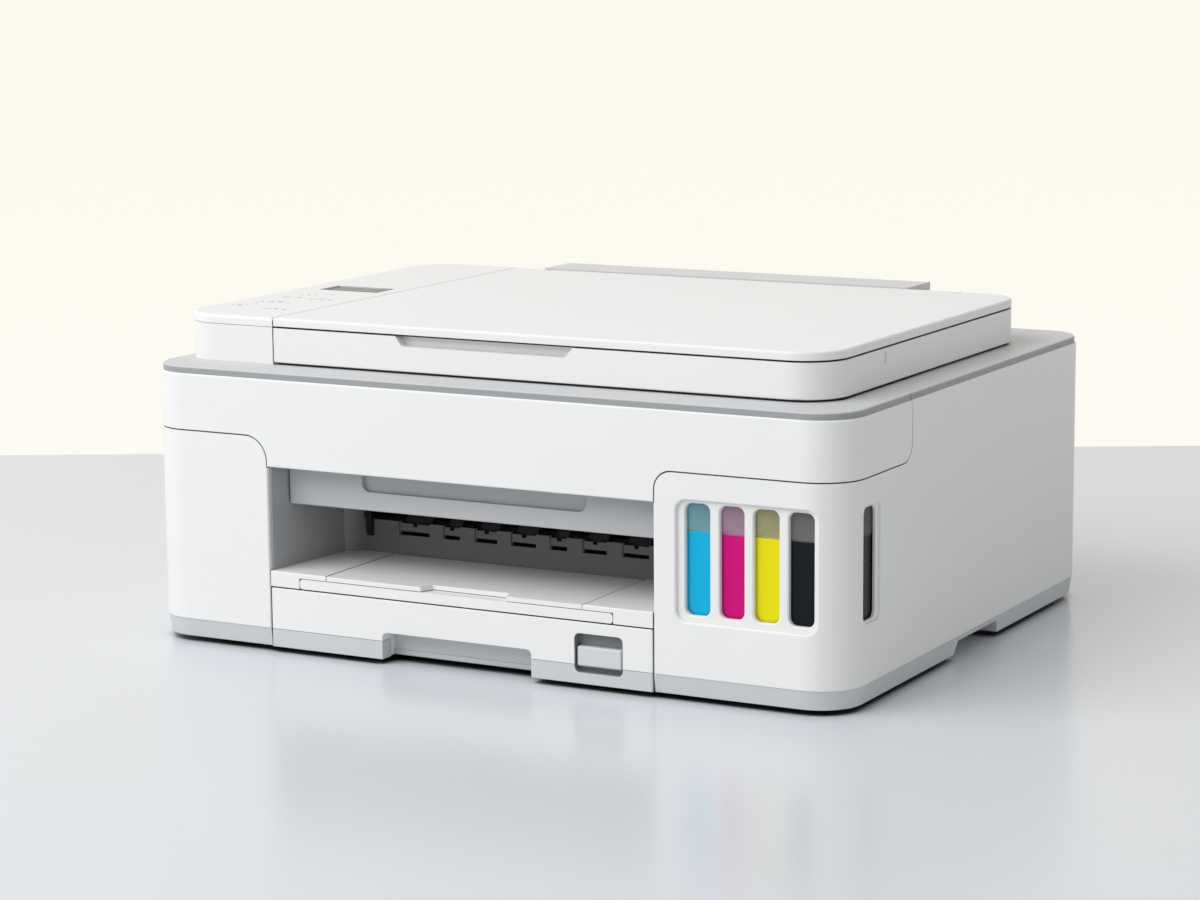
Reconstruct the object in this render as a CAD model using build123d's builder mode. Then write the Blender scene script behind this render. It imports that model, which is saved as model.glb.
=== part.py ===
"""Flatbed multifunction ink tank printer: body, scanner unit, lid, drawer and paper path.

Millimetres. X runs right along the front, Y to the back, Z up. The origin is the
middle of the footprint, at the height of the surface that the feet stand on.
"""

import math
import os

from build123d import *

# Overall size
WIDTH = 416
DEPTH = 337
HEIGHT = 177
LEFT = -WIDTH / 2
RIGHT = WIDTH / 2
FRONT = -DEPTH / 2
BACK = DEPTH / 2

# Body
FOOT_HEIGHT = 3
BASE_TOP = 12.9
BASE_TAPER = 1.6
BASE_RIM = 3.6
PAN_FLOOR_TOP = 5.5
BODY_TOP = 147.8
DECK_TOP = 151.5
CORNER_R = 24
WALL = 2.5
SEAM = 0.3
COVER_SEAM = 0.7
GRIP = (-31, 43)
GRIP_DEPTH = 21

# Output bay and the towers on either side of it
TOWER_L = -129
TOWER_R = 102.9
BAY_TOP = 100.7
COVER_LOW = 117.3
COVER_END_Y = -86.5
TOWER_L_R = 14
TOWER_R_R = 10
BAY_CORNER_Y = -105.2
BAY_BACK_Y = -98.6
BAY_FRONT_HALF = 115.1
BAY_BACK_HALF = 100.1
BAY_SPLAY = 6
BAY_SILL = 62.4
TRAY_TOP = 44.3
TRAY_BOTTOM = 36
PAPER_X = -12.9

# Scanner unit and document lid
UNIT_X0 = -141.2
UNIT_X1 = 187.1
UNIT_Y0 = -141.6
UNIT_Y1 = 121
UNIT_BOTTOM = 152.7
UNIT_TOP = 171.4
UNIT_FLOOR = 1.6
LID_BOTTOM = 172.4
LID_RIM = 5
LID_HALF = (HEIGHT - LID_BOTTOM) / 2
LID_AXIS = (UNIT_Y1 - LID_HALF, HEIGHT - LID_HALF)
LID_LUGS = (-116, 150)
UNIT_AXIS = (124.5, 172)
UNIT_POSTS = (-138.5, 152)
GLASS_TOP = 169.2
GLASS_THICK = 2.5
BEZEL_TOP = 171.2
SCAN_X = (-126.5, 172.5)
SCAN_Y = (-119.3, 98.7)
SCAN_BAR_X = (-134, -116)
RAIL_Y = -10
RAIL_Z = 157.6
RAIL_R = 3
FINGER_X = (-70, 49)
FINGER_BACK = -131

# Control panel
PANEL_X0 = -204.4
PANEL_X1 = -141.9
PANEL_Y1 = 124
PANEL_SPLIT = 171.8
PANEL_TOP = HEIGHT - 0.1
PANEL_SKIN = 2.4
PANEL_WALL = 2
DISPLAY = (-187, -153, -21, -4.5)
BOARD_Z = (167, 168.6)
KEY_R = 4.1
KEYS = {
    "key_power": (-190, -102),
    "key_stop": (-179, -82),
    "key_start": (-162, -108),
    "key_menu": (-184, -60),
    "key_ok": (-162, -62),
}

# Drawer
DRAWER_X = (-124, 98.6)
DRAWER_Y = (-156, 150)
DRAWER_Z = (6, 33)
DRAWER_WALL = 2
DRAWER_FLOOR = 8.2
DRAWER_FRONT_X = (-128.2, 102.2)
DRAWER_FRONT_TOP = 35.2
SKIRT_Y = DRAWER_Y[0] - 4
HAND_NOTCH = (-58.5, 31.8, -12, 17.6)
HAND_NOTCH_R = 3
LATCH = (57.2, 85.2, 8.8, 29.3)
LATCH_BUTTON = (11.9, 22.3)
RACK_MODULE = 1
PINION_TEETH = 16
PINION_R = RACK_MODULE * PINION_TEETH / 2
PINION_Y = -2
RACK_Z = (DRAWER_FLOOR + 0.3, DRAWER_FLOOR + 2.3)
GUIDE_HALF = 105.2
GUIDE_Y = (-60, 50)

# Sliding parts of the output tray
SLIDE_X = (-109.8, 79.5)
SLIDE_TOP = 41.4
LIP_BACK = -160
PANEL_X = (-93, 61.7)
PANEL_BACK = -100
SLIDE_GAP = 0.3

# Inner output cover
FLAP_AXIS = (-149.5, 110)
FLAP_LOW = 78.4
SCOOP = (-79.8, 56, 88.6, 116)

# Paper path: the sheet runs at this height over the rollers
PAPER_Z = 66
FEED_Y = 5
FEED_R = 6
EXIT_Y = -88
EXIT_R = 6.06
SHAFT_R = 2.5
ROLLER_Z = PAPER_Z - FEED_R
GEAR_MODULE = 1.5
END_TEETH = 22
IDLER_TEETH = 40
GEAR_X = -168.5
GEAR_WIDTH = 5
IDLER_Y = (FEED_Y + EXIT_Y) / 2
STAR_R = 5.2
STAR_Z = PAPER_Z + STAR_R + 0.1
STAR_POINTS = 12
NOTCHES = [(-90.5, -71.2), (-62.5, -52), (-42.5, -28.5), (-20, -4.5), (4, 14.5), (24, 38.5), (48, 64)]
NOTCH_Z = (55, 57)
NOTCH_DEEP = 0.9
HANGERS = [NOTCHES[0][0] - 8]
HANGERS += [(left[1] + right[0]) / 2 for left, right in zip(NOTCHES, NOTCHES[1:])]
HANGERS += [NOTCHES[-1][1] + 8]
FRAME_L = -160
FRAME_R = 150
PLATE = 1.5

# Carriage drive
CARRIAGE_X = (75, 145)
CARRIAGE_Y = (-62, -17)
CARRIAGE_MIDDLE = sum(CARRIAGE_X) / 2
HEADS_X = (CARRIAGE_X[0] + 2, CARRIAGE_MIDDLE + 1)
HEAD_W = 32
BELT_Z = 94
BELT_Y = (-16, -11)
BELT_R = 6.4
BELT_THICK = 1
PULLEY_X = 140
PULLEY_STEPS = ((-16.8, -16.2, 7.4), (-16.2, -10.8, BELT_R - BELT_THICK - 0.05), (-10.8, -10.2, 7.4))
WEB_Y = (-9, -7.5)
WEB_Z = (78, 108)

# Ink tanks behind their windows
WINDOWS = [(119.6, 133.5), (138.8, 152.4), (157.5, 171.5), (176.7, 190.5)]
WINDOW_Z = (44.3, 101.5)
WINDOW_R = 4
RECESS = (115.3, 192.1, 41, 103.2)
RECESS_R = 6
RECESS_FLOOR_Y = -166.3
SIDE_WINDOW = (-138.2, 73.4, 16.4, 57.2)
SIDE_RECESS = (-136.2, 73.4, 20.8, 60.4)
TANK_FRONT_Y = -163.5
TANK_BACK_Y = -85
TANK_Z = (40, 112)
TANK_W = 17
TANK_WALL = 1.5
TANK_X = [(sum(w) / 2 - TANK_W / 2, sum(w) / 2 + TANK_W / 2) for w in WINDOWS[:3]] + [(175, 205)]
NECK_X = [x0 + TANK_W / 2 for x0, x1 in TANK_X]
NECK_Y = -118
CAP_AXIS = (NECK_Y + 14.5, TANK_Z[1] + 2.5)
CAP_HALF = 4.3
TANK_HOLE = (112, 186, -130, -24)
OUTLET_Z = 46
TUBE_R = 1.5
TUBE_Z = 108

# Rear paper feed
SLOT_X = (-121.5, 112.5)
SLOT_Y = (127.5, 160)
SLOT_LOW = 142
SLOT_TOP = 172
SLOT_WALL = 2
REAR_COVER = (-124, 115, 125, 158.5)
REAR_AXIS = (REAR_COVER[3] - LID_HALF, HEIGHT - LID_HALF)
REAR_LUGS = (-100, 84)
CHUTE = [(158, 162), (112, 94), (60, 74), (14, 65.5)]
CHUTE_UNDER = [(14, 63.5), (60.6, 71.8), (113.4, 92.2), (160, 160)]
CHUTE_R = 25
CHEEK = [(159, 158), (113, 92), (80, 80), (80, 112), (104, 132), (SLOT_Y[0], 146), (150, 152)]
PICKUP_R = 12
PICKUP_HALF = 19
PICKUP_YZ = (109.8, 112.7)

# Sockets at the back
INLET = (-163, -137, 20, 38)
DATA_PORT = (-196.5, -183.5, 56, 68)

os.makedirs("parts", exist_ok=True)


def save(piece, name):
    """Name a finished piece and write it to its own file."""
    piece.part.label = name
    export_step(piece.part, f"parts/{name}.step")


def block(x0, x1, y0, y1, z0, z1, mode=Mode.ADD):
    """A block between two corners, in the piece being made."""
    with Locations(((x0 + x1) / 2, (y0 + y1) / 2, (z0 + z1) / 2)):
        Box(x1 - x0, y1 - y0, z1 - z0, mode=mode)


def rod(x0, x1, y, z, radius, mode=Mode.ADD):
    """A round bar along X, in the piece being made."""
    with BuildSketch(Plane.YZ.offset(x0)) as drawn:
        with Locations((y, z)):
            Circle(radius)
    extrude(drawn.sketch, amount=x1 - x0, mode=mode)


def post(x, y, z0, z1, radius, mode=Mode.ADD):
    """A round bar along Z, in the piece being made."""
    with BuildSketch(Plane.XY.offset(z0)) as drawn:
        with Locations((x, y)):
            Circle(radius)
    extrude(drawn.sketch, amount=z1 - z0, mode=mode)


def stub(y0, y1, x, z, radius, mode=Mode.ADD):
    """A round bar along Y, in the piece being made."""
    with BuildSketch(Plane.XZ.offset(-y1)) as drawn:
        with Locations((x, z)):
            Circle(radius)
    extrude(drawn.sketch, amount=y1 - y0, mode=mode)


def rounded(x0, x1, y0, y1, z, radius):
    """A rectangle with four round corners, lying at height z."""
    with BuildSketch(Plane.XY.offset(z)) as drawn:
        with Locations(((x0 + x1) / 2, (y0 + y1) / 2)):
            RectangleRounded(x1 - x0, y1 - y0, radius)
    return drawn.sketch


def half_rounded(x0, x1, y0, y1, z, radius, end):
    """A rectangle whose left (end 0) or right (end -1) corners are round."""
    with BuildSketch(Plane.XY.offset(z)) as drawn:
        with Locations(((x0 + x1) / 2, (y0 + y1) / 2)):
            Rectangle(x1 - x0, y1 - y0)
        fillet(drawn.vertices().group_by(Axis.X)[end], radius)
    return drawn.sketch


def front_rounded(x0, x1, z0, z1, y, radius):
    """A rectangle with round corners that faces the front, at depth y."""
    with BuildSketch(Plane.XZ.offset(-y)) as drawn:
        with Locations(((x0 + x1) / 2, (z0 + z1) / 2)):
            RectangleRounded(x1 - x0, z1 - z0, radius)
    return drawn.sketch


def side_rounded(y, z, across, tall, x, radius):
    """A rectangle with round corners that faces the side, at distance x."""
    with BuildSketch(Plane.YZ.offset(x)) as drawn:
        with Locations((y, z)):
            RectangleRounded(across, tall, radius)
    return drawn.sketch


def outline(plane, points):
    """A straight-sided face on a plane."""
    with BuildSketch(plane) as drawn:
        with BuildLine():
            Polyline(*points, close=True)
        make_face()
    return drawn.sketch


def body_plan(inset, z):
    """The housing's rounded plan, set in from its outer faces."""
    return rounded(LEFT + inset, RIGHT - inset, FRONT + inset, BACK - inset, z, CORNER_R - inset)


def unit_plan(inset, z):
    """The scanner unit's plan, set in from its outer faces, with round right corners."""
    return half_rounded(
        UNIT_X0 + inset, UNIT_X1 - inset, UNIT_Y0 + inset, UNIT_Y1 - inset, z, CORNER_R - inset, -1
    )


def panel_plan(inset, z):
    """The control panel's plan, set in from its outer faces, with round left corners."""
    return half_rounded(
        PANEL_X0 + inset, PANEL_X1 - inset, UNIT_Y0 + inset, PANEL_Y1 - inset, z, CORNER_R - inset, 0
    )


def body_ring(z0, z1):
    """The housing's upright wall between two heights, with its top edge rounded."""
    with BuildPart() as ring:
        extrude(body_plan(0, z0), amount=z1 - z0)
        fillet(ring.faces().sort_by(Axis.Z)[-1].outer_wire().edges(), 1)
        extrude(body_plan(WALL, z0), amount=z1 - z0, mode=Mode.SUBTRACT)
    return ring.part


def cover_zone(grow):
    """The space of the front cover, which wraps round both corners, grown by a seam."""
    low = COVER_LOW - grow
    left = TOWER_L - grow
    right = TOWER_R + grow
    points = [
        (LEFT - 5, low),
        (left, low),
        (left, BAY_TOP - grow),
        (right, BAY_TOP - grow),
        (right, low),
        (RIGHT + 5, low),
        (RIGHT + 5, BODY_TOP + 5),
        (LEFT - 5, BODY_TOP + 5),
    ]
    with BuildSketch(Plane.XZ.offset(-COVER_END_Y - grow)) as drawn:
        with BuildLine():
            Polyline(*points, close=True)
        make_face()
        # the towers' upper corners are round, so the cover runs into them in a curve
        fillet(drawn.vertices().sort_by_distance((left, low))[0], TOWER_L_R - grow)
        fillet(drawn.vertices().sort_by_distance((right, low))[0], TOWER_R_R - grow)
    with BuildPart() as zone:
        extrude(drawn.sketch, amount=COVER_END_Y - FRONT + 10)
        back_edges = zone.edges().filter_by(Axis.X).group_by(Axis.Y)[-1]
        side_edges = back_edges.filter_by(lambda e: abs(e.center().Z - low) < 0.1)
        fillet(side_edges, TOWER_R_R + grow)
    return zone.part


def gear_face(plane, teeth, module, phase):
    """A spur gear's outline: four points a tooth, with the first tooth at phase degrees."""
    pitch = teeth * module / 2
    levels = [(-1.05, 0.56), (0.8, 0.24)]
    points = []
    for tooth in range(teeth):
        middle = math.radians(phase) + 2 * math.pi * tooth / teeth
        flank = []
        for height, share in levels:
            radius = pitch + height * module
            half = share * math.pi * module / 2 / radius
            flank.append((radius, half))
        for radius, half in flank:
            points.append((radius * math.cos(middle - half), radius * math.sin(middle - half)))
        for radius, half in reversed(flank):
            points.append((radius * math.cos(middle + half), radius * math.sin(middle + half)))
    return outline(plane, points)


# Base: a grey pan with a tapered rim, two hand grips and the drawer's channel
with BuildPart() as base_pan:
    loft([body_plan(BASE_TAPER, FOOT_HEIGHT), body_plan(SEAM, BASE_TOP)])
    extrude(body_plan(BASE_RIM, PAN_FLOOR_TOP), amount=BASE_TOP, mode=Mode.SUBTRACT)
    # the drawer's channel, cut through the front rim
    block(TOWER_L, TOWER_R, FRONT - 1, DRAWER_Y[0] + 1, 0, BASE_TOP + 1, mode=Mode.SUBTRACT)
    # hand grips, each a closed pocket in the rim
    for side in (-1, 1):
        block(*sorted((side * (RIGHT - 24), side * (RIGHT - 3))), *GRIP, FOOT_HEIGHT + 0.5, BASE_TOP)
        grip_view = [(GRIP[0] + 4.5, 0), (GRIP[0] + 10, 10), (GRIP[1] - 10, 10), (GRIP[1] - 5, 0)]
        grip = outline(Plane.YZ.offset(side * (RIGHT + 1)), grip_view)
        extrude(grip, amount=-side * (GRIP_DEPTH + 1), mode=Mode.SUBTRACT)
    # ribs that carry the ink tanks
    for rib_y in (-150, -112):
        block(118, 203, rib_y, rib_y + 3, PAN_FLOOR_TOP, TANK_Z[0])
save(base_pan, "base_pan")

# Four rubber feet
with BuildPart() as feet:
    for foot_x in (LEFT + 34, RIGHT - 34):
        for foot_y in (FRONT + 34, BACK - 34):
            post(foot_x, foot_y, 0, FOOT_HEIGHT, 9)
    chamfer(feet.edges().filter_by(GeomType.CIRCLE).group_by(Axis.Z)[0], 0.8)
save(feet, "feet")

# Main shell: both towers, the sides and the back in one moulding
with BuildPart() as main_shell:
    add(body_ring(BASE_TOP, BODY_TOP))
    # thicker front wall that the window recess is sunk in
    with BuildSketch(Plane.XY.offset(RECESS[2] - 3)) as backing:
        add(body_plan(0, RECESS[2] - 3))
        with Locations((153.5, -165.5)):
            Rectangle(83, 8, mode=Mode.INTERSECT)
        with Locations((153.5, -160.5)):
            Rectangle(90, 6, mode=Mode.SUBTRACT)
    extrude(backing.sketch, amount=RECESS[3] - RECESS[2] + 6)
    extrude(front_rounded(*RECESS, RECESS_FLOOR_Y, RECESS_R), amount=10, mode=Mode.SUBTRACT)
    for x0, x1 in WINDOWS:
        extrude(front_rounded(x0, x1, *WINDOW_Z, -160, WINDOW_R), amount=12, mode=Mode.SUBTRACT)
    # bevel round each window, on the floor of the recess
    floor_middle = ((RECESS[0] + RECESS[1]) / 2, RECESS_FLOOR_Y, (RECESS[2] + RECESS[3]) / 2)
    recess_floor = main_shell.faces().filter_by(Axis.Y).sort_by_distance(floor_middle)[0]
    for window_wire in recess_floor.inner_wires():
        chamfer(window_wire.edges(), 0.6)
    # side window on the black tank
    extrude(side_rounded(*SIDE_WINDOW, RIGHT - 8, WINDOW_R), amount=12, mode=Mode.SUBTRACT)
    extrude(side_rounded(*SIDE_RECESS, RIGHT - 1.1, WINDOW_R + 1), amount=4, mode=Mode.SUBTRACT)
    # front opening: output bay above, drawer below
    block(TOWER_L, TOWER_R, FRONT - 1, FRONT + 8, BASE_TOP - 1, BAY_TOP + 1, mode=Mode.SUBTRACT)
    add(cover_zone(COVER_SEAM), mode=Mode.SUBTRACT)
    # round the towers' inner edges, beside the bay
    tower_edges = main_shell.edges().filter_by(Axis.Z).filter_by_position(Axis.Y, FRONT - 0.1, FRONT + 0.1)
    fillet(tower_edges.filter_by(lambda e: e.length > 50), 1)
    # openings for the sockets at the back
    block(INLET[0], INLET[1], BACK - 8, BACK + 1, INLET[2], INLET[3], mode=Mode.SUBTRACT)
    block(DATA_PORT[0], DATA_PORT[1], BACK - 8, BACK + 1, DATA_PORT[2], DATA_PORT[3], mode=Mode.SUBTRACT)
save(main_shell, "main_shell")

# Front cover: the white band over the bay, wrapped round both front corners
with BuildPart() as front_cover:
    add(body_ring(BAY_TOP - 1, BODY_TOP))
    add(cover_zone(0), mode=Mode.INTERSECT)
    bay_edges = front_cover.edges().filter_by(Axis.X).filter_by_position(Axis.Z, BAY_TOP - 0.1, BAY_TOP + 0.1)
    fillet(bay_edges.group_by(Axis.Y)[0], 0.8)
save(front_cover, "front_cover")

# Top deck: the grey ledge, open over the carriage, the tanks and the rear slot
with BuildPart() as top_deck:
    extrude(body_plan(1, BODY_TOP), amount=DECK_TOP - BODY_TOP)
    fillet(top_deck.faces().sort_by(Axis.Z)[-1].outer_wire().edges(), 0.8)
    # skirt that locates the deck inside the walls
    skirt = WALL + SEAM
    extrude(body_plan(skirt, BODY_TOP - 4), amount=4)
    extrude(body_plan(skirt + 2, BODY_TOP - 4), amount=4, mode=Mode.SUBTRACT)
    extrude(rounded(-126, 98, -112, 100, BODY_TOP - 1, 8), amount=10, mode=Mode.SUBTRACT)
    extrude(rounded(*TANK_HOLE, BODY_TOP - 1, 8), amount=10, mode=Mode.SUBTRACT)
    block(*SLOT_X, *SLOT_Y, BODY_TOP - 1, DECK_TOP + 1, mode=Mode.SUBTRACT)
    # groove in each side, in line with the end of the front cover
    for side in (-1, 1):
        reach = sorted((side * (RIGHT - 1.6), side * RIGHT))
        block(*reach, COVER_END_Y - 0.4, COVER_END_Y + 0.4, BODY_TOP - 0.1, DECK_TOP + 1, mode=Mode.SUBTRACT)
    # hinge posts with their pins
    for left in UNIT_POSTS:
        for ear in (left, left + 8.7):
            block(ear, ear + 3.2, UNIT_AXIS[0] - 2.9, UNIT_AXIS[0] + 2.9, DECK_TOP, UNIT_AXIS[1])
            rod(ear, ear + 3.2, *UNIT_AXIS, 2.9)
        rod(left, left + 11.9, *UNIT_AXIS, 1.2)
save(top_deck, "top_deck")

# Control panel: lower shell fixed to the deck
with BuildPart() as panel_shell:
    extrude(panel_plan(0, DECK_TOP), amount=PANEL_SPLIT - DECK_TOP)
    extrude(panel_plan(PANEL_WALL, DECK_TOP + 2), amount=PANEL_SPLIT - DECK_TOP, mode=Mode.SUBTRACT)
    # bosses under the key board
    for boss_y in (-116, -60, 4):
        for boss_x in (-196, -150):
            post(boss_x, boss_y, DECK_TOP + 1, BOARD_Z[0], 2.5)
save(panel_shell, "panel_shell")

# Control panel: top plate with key holes and the display opening
with BuildPart() as panel_top:
    extrude(panel_plan(0, PANEL_SPLIT + 0.2), amount=PANEL_TOP - PANEL_SPLIT - 0.2)
    fillet(panel_top.faces().sort_by(Axis.Z)[-1].outer_wire().edges(), 1.8)
    pocket_h = PANEL_TOP - PANEL_SKIN - PANEL_SPLIT
    extrude(panel_plan(PANEL_WALL, PANEL_SPLIT), amount=pocket_h, mode=Mode.SUBTRACT)
    for key_x, key_y in KEYS.values():
        post(key_x, key_y, PANEL_SPLIT, HEIGHT + 1, KEY_R + 0.3, mode=Mode.SUBTRACT)
    block(*DISPLAY, PANEL_SPLIT, HEIGHT + 1, mode=Mode.SUBTRACT)
save(panel_top, "panel_top")

# Display window, held by a flange under the plate
with BuildPart() as display_window:
    window_x0, window_x1, window_y0, window_y1 = DISPLAY
    block(window_x0 + 0.1, window_x1 - 0.1, window_y0 + 0.1, window_y1 - 0.1, 173.4, PANEL_TOP - 0.3)
    block(window_x0 - 2, window_x1 + 2, window_y0 - 2, window_y1 + 2, 173, PANEL_TOP - PANEL_SKIN)
save(display_window, "display_window")

# Keys: round caps with a flange that keeps them under the plate
for key_name, (key_x, key_y) in KEYS.items():
    with BuildPart() as key:
        post(key_x, key_y, 172, PANEL_TOP, KEY_R)
        post(key_x, key_y, 172, 173.5, KEY_R + 1.2)
        chamfer(key.edges().filter_by(GeomType.CIRCLE).group_by(Axis.Z)[-1], 0.3)
    save(key, key_name)

# Scanner unit: open-topped case with the finger recess, guide rod, hinge lugs and lid lugs
with BuildPart() as scanner_shell:
    case_h = UNIT_TOP - UNIT_BOTTOM
    extrude(unit_plan(0, UNIT_BOTTOM), amount=case_h)
    fillet(scanner_shell.faces().sort_by(Axis.Z)[0].outer_wire().edges(), 0.8)
    extrude(unit_plan(WALL, UNIT_BOTTOM + UNIT_FLOOR), amount=case_h, mode=Mode.SUBTRACT)
    # finger recess under the lid's front edge
    block(*FINGER_X, UNIT_Y0 + 2, FINGER_BACK, UNIT_BOTTOM + 8, UNIT_TOP)
    with BuildSketch(Plane.XZ.offset(135.6)) as recess:
        with BuildLine():
            Polyline((-66, 174), (-60, 166), (38, 166), (45, 174), close=True)
        make_face()
        fillet(recess.vertices().group_by(Axis.Y)[0], 3)
    extrude(recess.sketch, amount=10, mode=Mode.SUBTRACT)
    # small sight mark on the right side
    extrude(side_rounded(-73.5, 166.5, 2.6, 6, UNIT_X1 - 0.6, 1.2), amount=2, mode=Mode.SUBTRACT)
    # guide rod for the scan bar
    rod(UNIT_X0 + 1, UNIT_X1 - 1, RAIL_Y, RAIL_Z, RAIL_R)
    # lugs on the back wall that turn on the deck's pins
    lug_web = [
        (UNIT_Y1 - 1, 168.4), (UNIT_Y1 - 1, UNIT_TOP - 0.1), (121.3, UNIT_TOP),
        (123.6, 174.6), (125.5, 174.5), (125.5, 169.3),
    ]
    for post_x in UNIT_POSTS:
        lug_x = post_x + 3.5
        extrude(outline(Plane.YZ.offset(lug_x), lug_web), amount=4.9)
        rod(lug_x, lug_x + 4.9, *UNIT_AXIS, 2.8)
        rod(lug_x, lug_x + 4.9, *UNIT_AXIS, 1.25, mode=Mode.SUBTRACT)
    # lugs and pins that carry the lid
    for lug_x in LID_LUGS:
        block(lug_x, lug_x + 8, UNIT_Y1 - WALL, UNIT_Y1 - 0.1, UNIT_TOP - 1, LID_AXIS[1])
        rod(lug_x, lug_x + 8, *LID_AXIS, LID_HALF - 0.1)
        rod(lug_x - 7, lug_x + 15, *LID_AXIS, 1.0)
save(scanner_shell, "scanner_shell")

# Bezel round the glass
with BuildPart() as scanner_bezel:
    extrude(unit_plan(WALL, GLASS_TOP), amount=BEZEL_TOP - GLASS_TOP)
    block(*SCAN_X, *SCAN_Y, GLASS_TOP - 1, BEZEL_TOP + 1, mode=Mode.SUBTRACT)
    bezel_face = scanner_bezel.faces().sort_by(Axis.Z)[-1]
    chamfer(bezel_face.inner_wires()[0].edges(), 0.8)
    block(*FINGER_X, UNIT_Y0, FINGER_BACK, GLASS_TOP - 1, BEZEL_TOP + 1, mode=Mode.SUBTRACT)
save(scanner_bezel, "scanner_bezel")

with BuildPart() as scanner_glass:
    block(SCAN_X[0] - 4, SCAN_X[1] + 4, SCAN_Y[0] - 4, SCAN_Y[1] + 3, GLASS_TOP - GLASS_THICK, GLASS_TOP)
save(scanner_glass, "scanner_glass")

# Scan bar: the sensor bar and the saddle that runs on the guide rod
with BuildPart() as scan_bar:
    saddle_x = (SCAN_BAR_X[0] - 1, SCAN_BAR_X[1] + 1)
    bore_r = RAIL_R + 0.05
    block(*SCAN_BAR_X, -123, 102, RAIL_Z + RAIL_R + 0.6, GLASS_TOP - GLASS_THICK - 0.6)
    chamfer(scan_bar.edges().group_by(Axis.Z)[-1].filter_by(Axis.Y), 1.5)
    block(*SCAN_BAR_X, RAIL_Y - 9, RAIL_Y + 9, RAIL_Z - 1.6, RAIL_Z + RAIL_R + 1)
    rod(*saddle_x, RAIL_Y, RAIL_Z, bore_r, mode=Mode.SUBTRACT)
    block(*saddle_x, RAIL_Y - bore_r, RAIL_Y + bore_r, RAIL_Z - 3, RAIL_Z, mode=Mode.SUBTRACT)
save(scan_bar, "scan_bar")

# Document lid: its back edge is a full round about the hinge line
with BuildPart() as document_lid:
    extrude(unit_plan(0, LID_BOTTOM), amount=HEIGHT - LID_BOTTOM)
    fillet(document_lid.faces().sort_by(Axis.Z)[-1].outer_wire().edges(), 1.4)
    with BuildSketch(Plane.YZ.offset(UNIT_X0 - 1)) as side_view:
        with Locations(((UNIT_Y0 + LID_AXIS[0]) / 2, LID_AXIS[1])):
            Rectangle(LID_AXIS[0] - UNIT_Y0, 2 * LID_HALF)
        with Locations(LID_AXIS):
            Circle(LID_HALF)
    extrude(side_view.sketch, amount=UNIT_X1 - UNIT_X0 + 2, mode=Mode.INTERSECT)
    pad_pocket = half_rounded(
        UNIT_X0 + LID_RIM, UNIT_X1 - LID_RIM, UNIT_Y0 + LID_RIM, 112, LID_BOTTOM, CORNER_R - LID_RIM, -1
    )
    extrude(pad_pocket, amount=2.5, mode=Mode.SUBTRACT)
    for lug_x in LID_LUGS:
        block(lug_x - 0.4, lug_x + 8.4, 115.8, UNIT_Y1 + 1, LID_BOTTOM - 1, HEIGHT + 1, mode=Mode.SUBTRACT)
        rod(lug_x - 7.4, lug_x + 15.4, *LID_AXIS, 1.05, mode=Mode.SUBTRACT)
save(document_lid, "document_lid")

# White pad that presses the sheet on the glass
with BuildPart() as lid_pad:
    pad_x = (SCAN_X[0] - 2, SCAN_X[1] + 2)
    extrude(rounded(*pad_x, SCAN_Y[0] - 2, SCAN_Y[1] + 2, LID_BOTTOM - 0.5, 3), amount=3)
save(lid_pad, "lid_pad")

# Rear slot: hopper walls through the deck, and the curved chute down to the feed roller
with BuildPart() as rear_housing:
    extrude(rounded(*SLOT_X, *SLOT_Y, SLOT_LOW, 3), amount=SLOT_TOP - SLOT_LOW)
    hopper_x = (SLOT_X[0] + SLOT_WALL, SLOT_X[1] - SLOT_WALL)
    hopper_y = (SLOT_Y[0] + SLOT_WALL, SLOT_Y[1] - SLOT_WALL)
    extrude(rounded(*hopper_x, *hopper_y, SLOT_LOW - 2, 1), amount=40, mode=Mode.SUBTRACT)
    with BuildSketch(Plane.YZ.offset(SLOT_X[0])) as chute:
        with BuildLine():
            FilletPolyline(*CHUTE, radius=CHUTE_R)
            FilletPolyline(*CHUTE_UNDER, radius=CHUTE_R)
            Line(CHUTE[-1], CHUTE_UNDER[0])
            Line(CHUTE_UNDER[-1], CHUTE[0])
        make_face()
    extrude(chute.sketch, amount=SLOT_X[1] - SLOT_X[0])
    # side cheeks that carry the pickup shaft
    for cheek_x in (SLOT_X[0], SLOT_X[1] - SLOT_WALL):
        extrude(outline(Plane.YZ.offset(cheek_x), CHEEK), amount=SLOT_WALL)
    rod(SLOT_X[0] - 1, SLOT_X[1] + 1, *PICKUP_YZ, SHAFT_R + 0.05, mode=Mode.SUBTRACT)
    # lugs and pins for the rear cover
    for lug_x in REAR_LUGS:
        block(lug_x, lug_x + 7, REAR_AXIS[0] + 0.6, REAR_COVER[3] - 0.1, SLOT_TOP - 1, REAR_AXIS[1])
        rod(lug_x, lug_x + 7, *REAR_AXIS, LID_HALF - 0.1)
        rod(lug_x - 6, lug_x + 13, *REAR_AXIS, 1.0)
save(rear_housing, "rear_housing")

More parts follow.
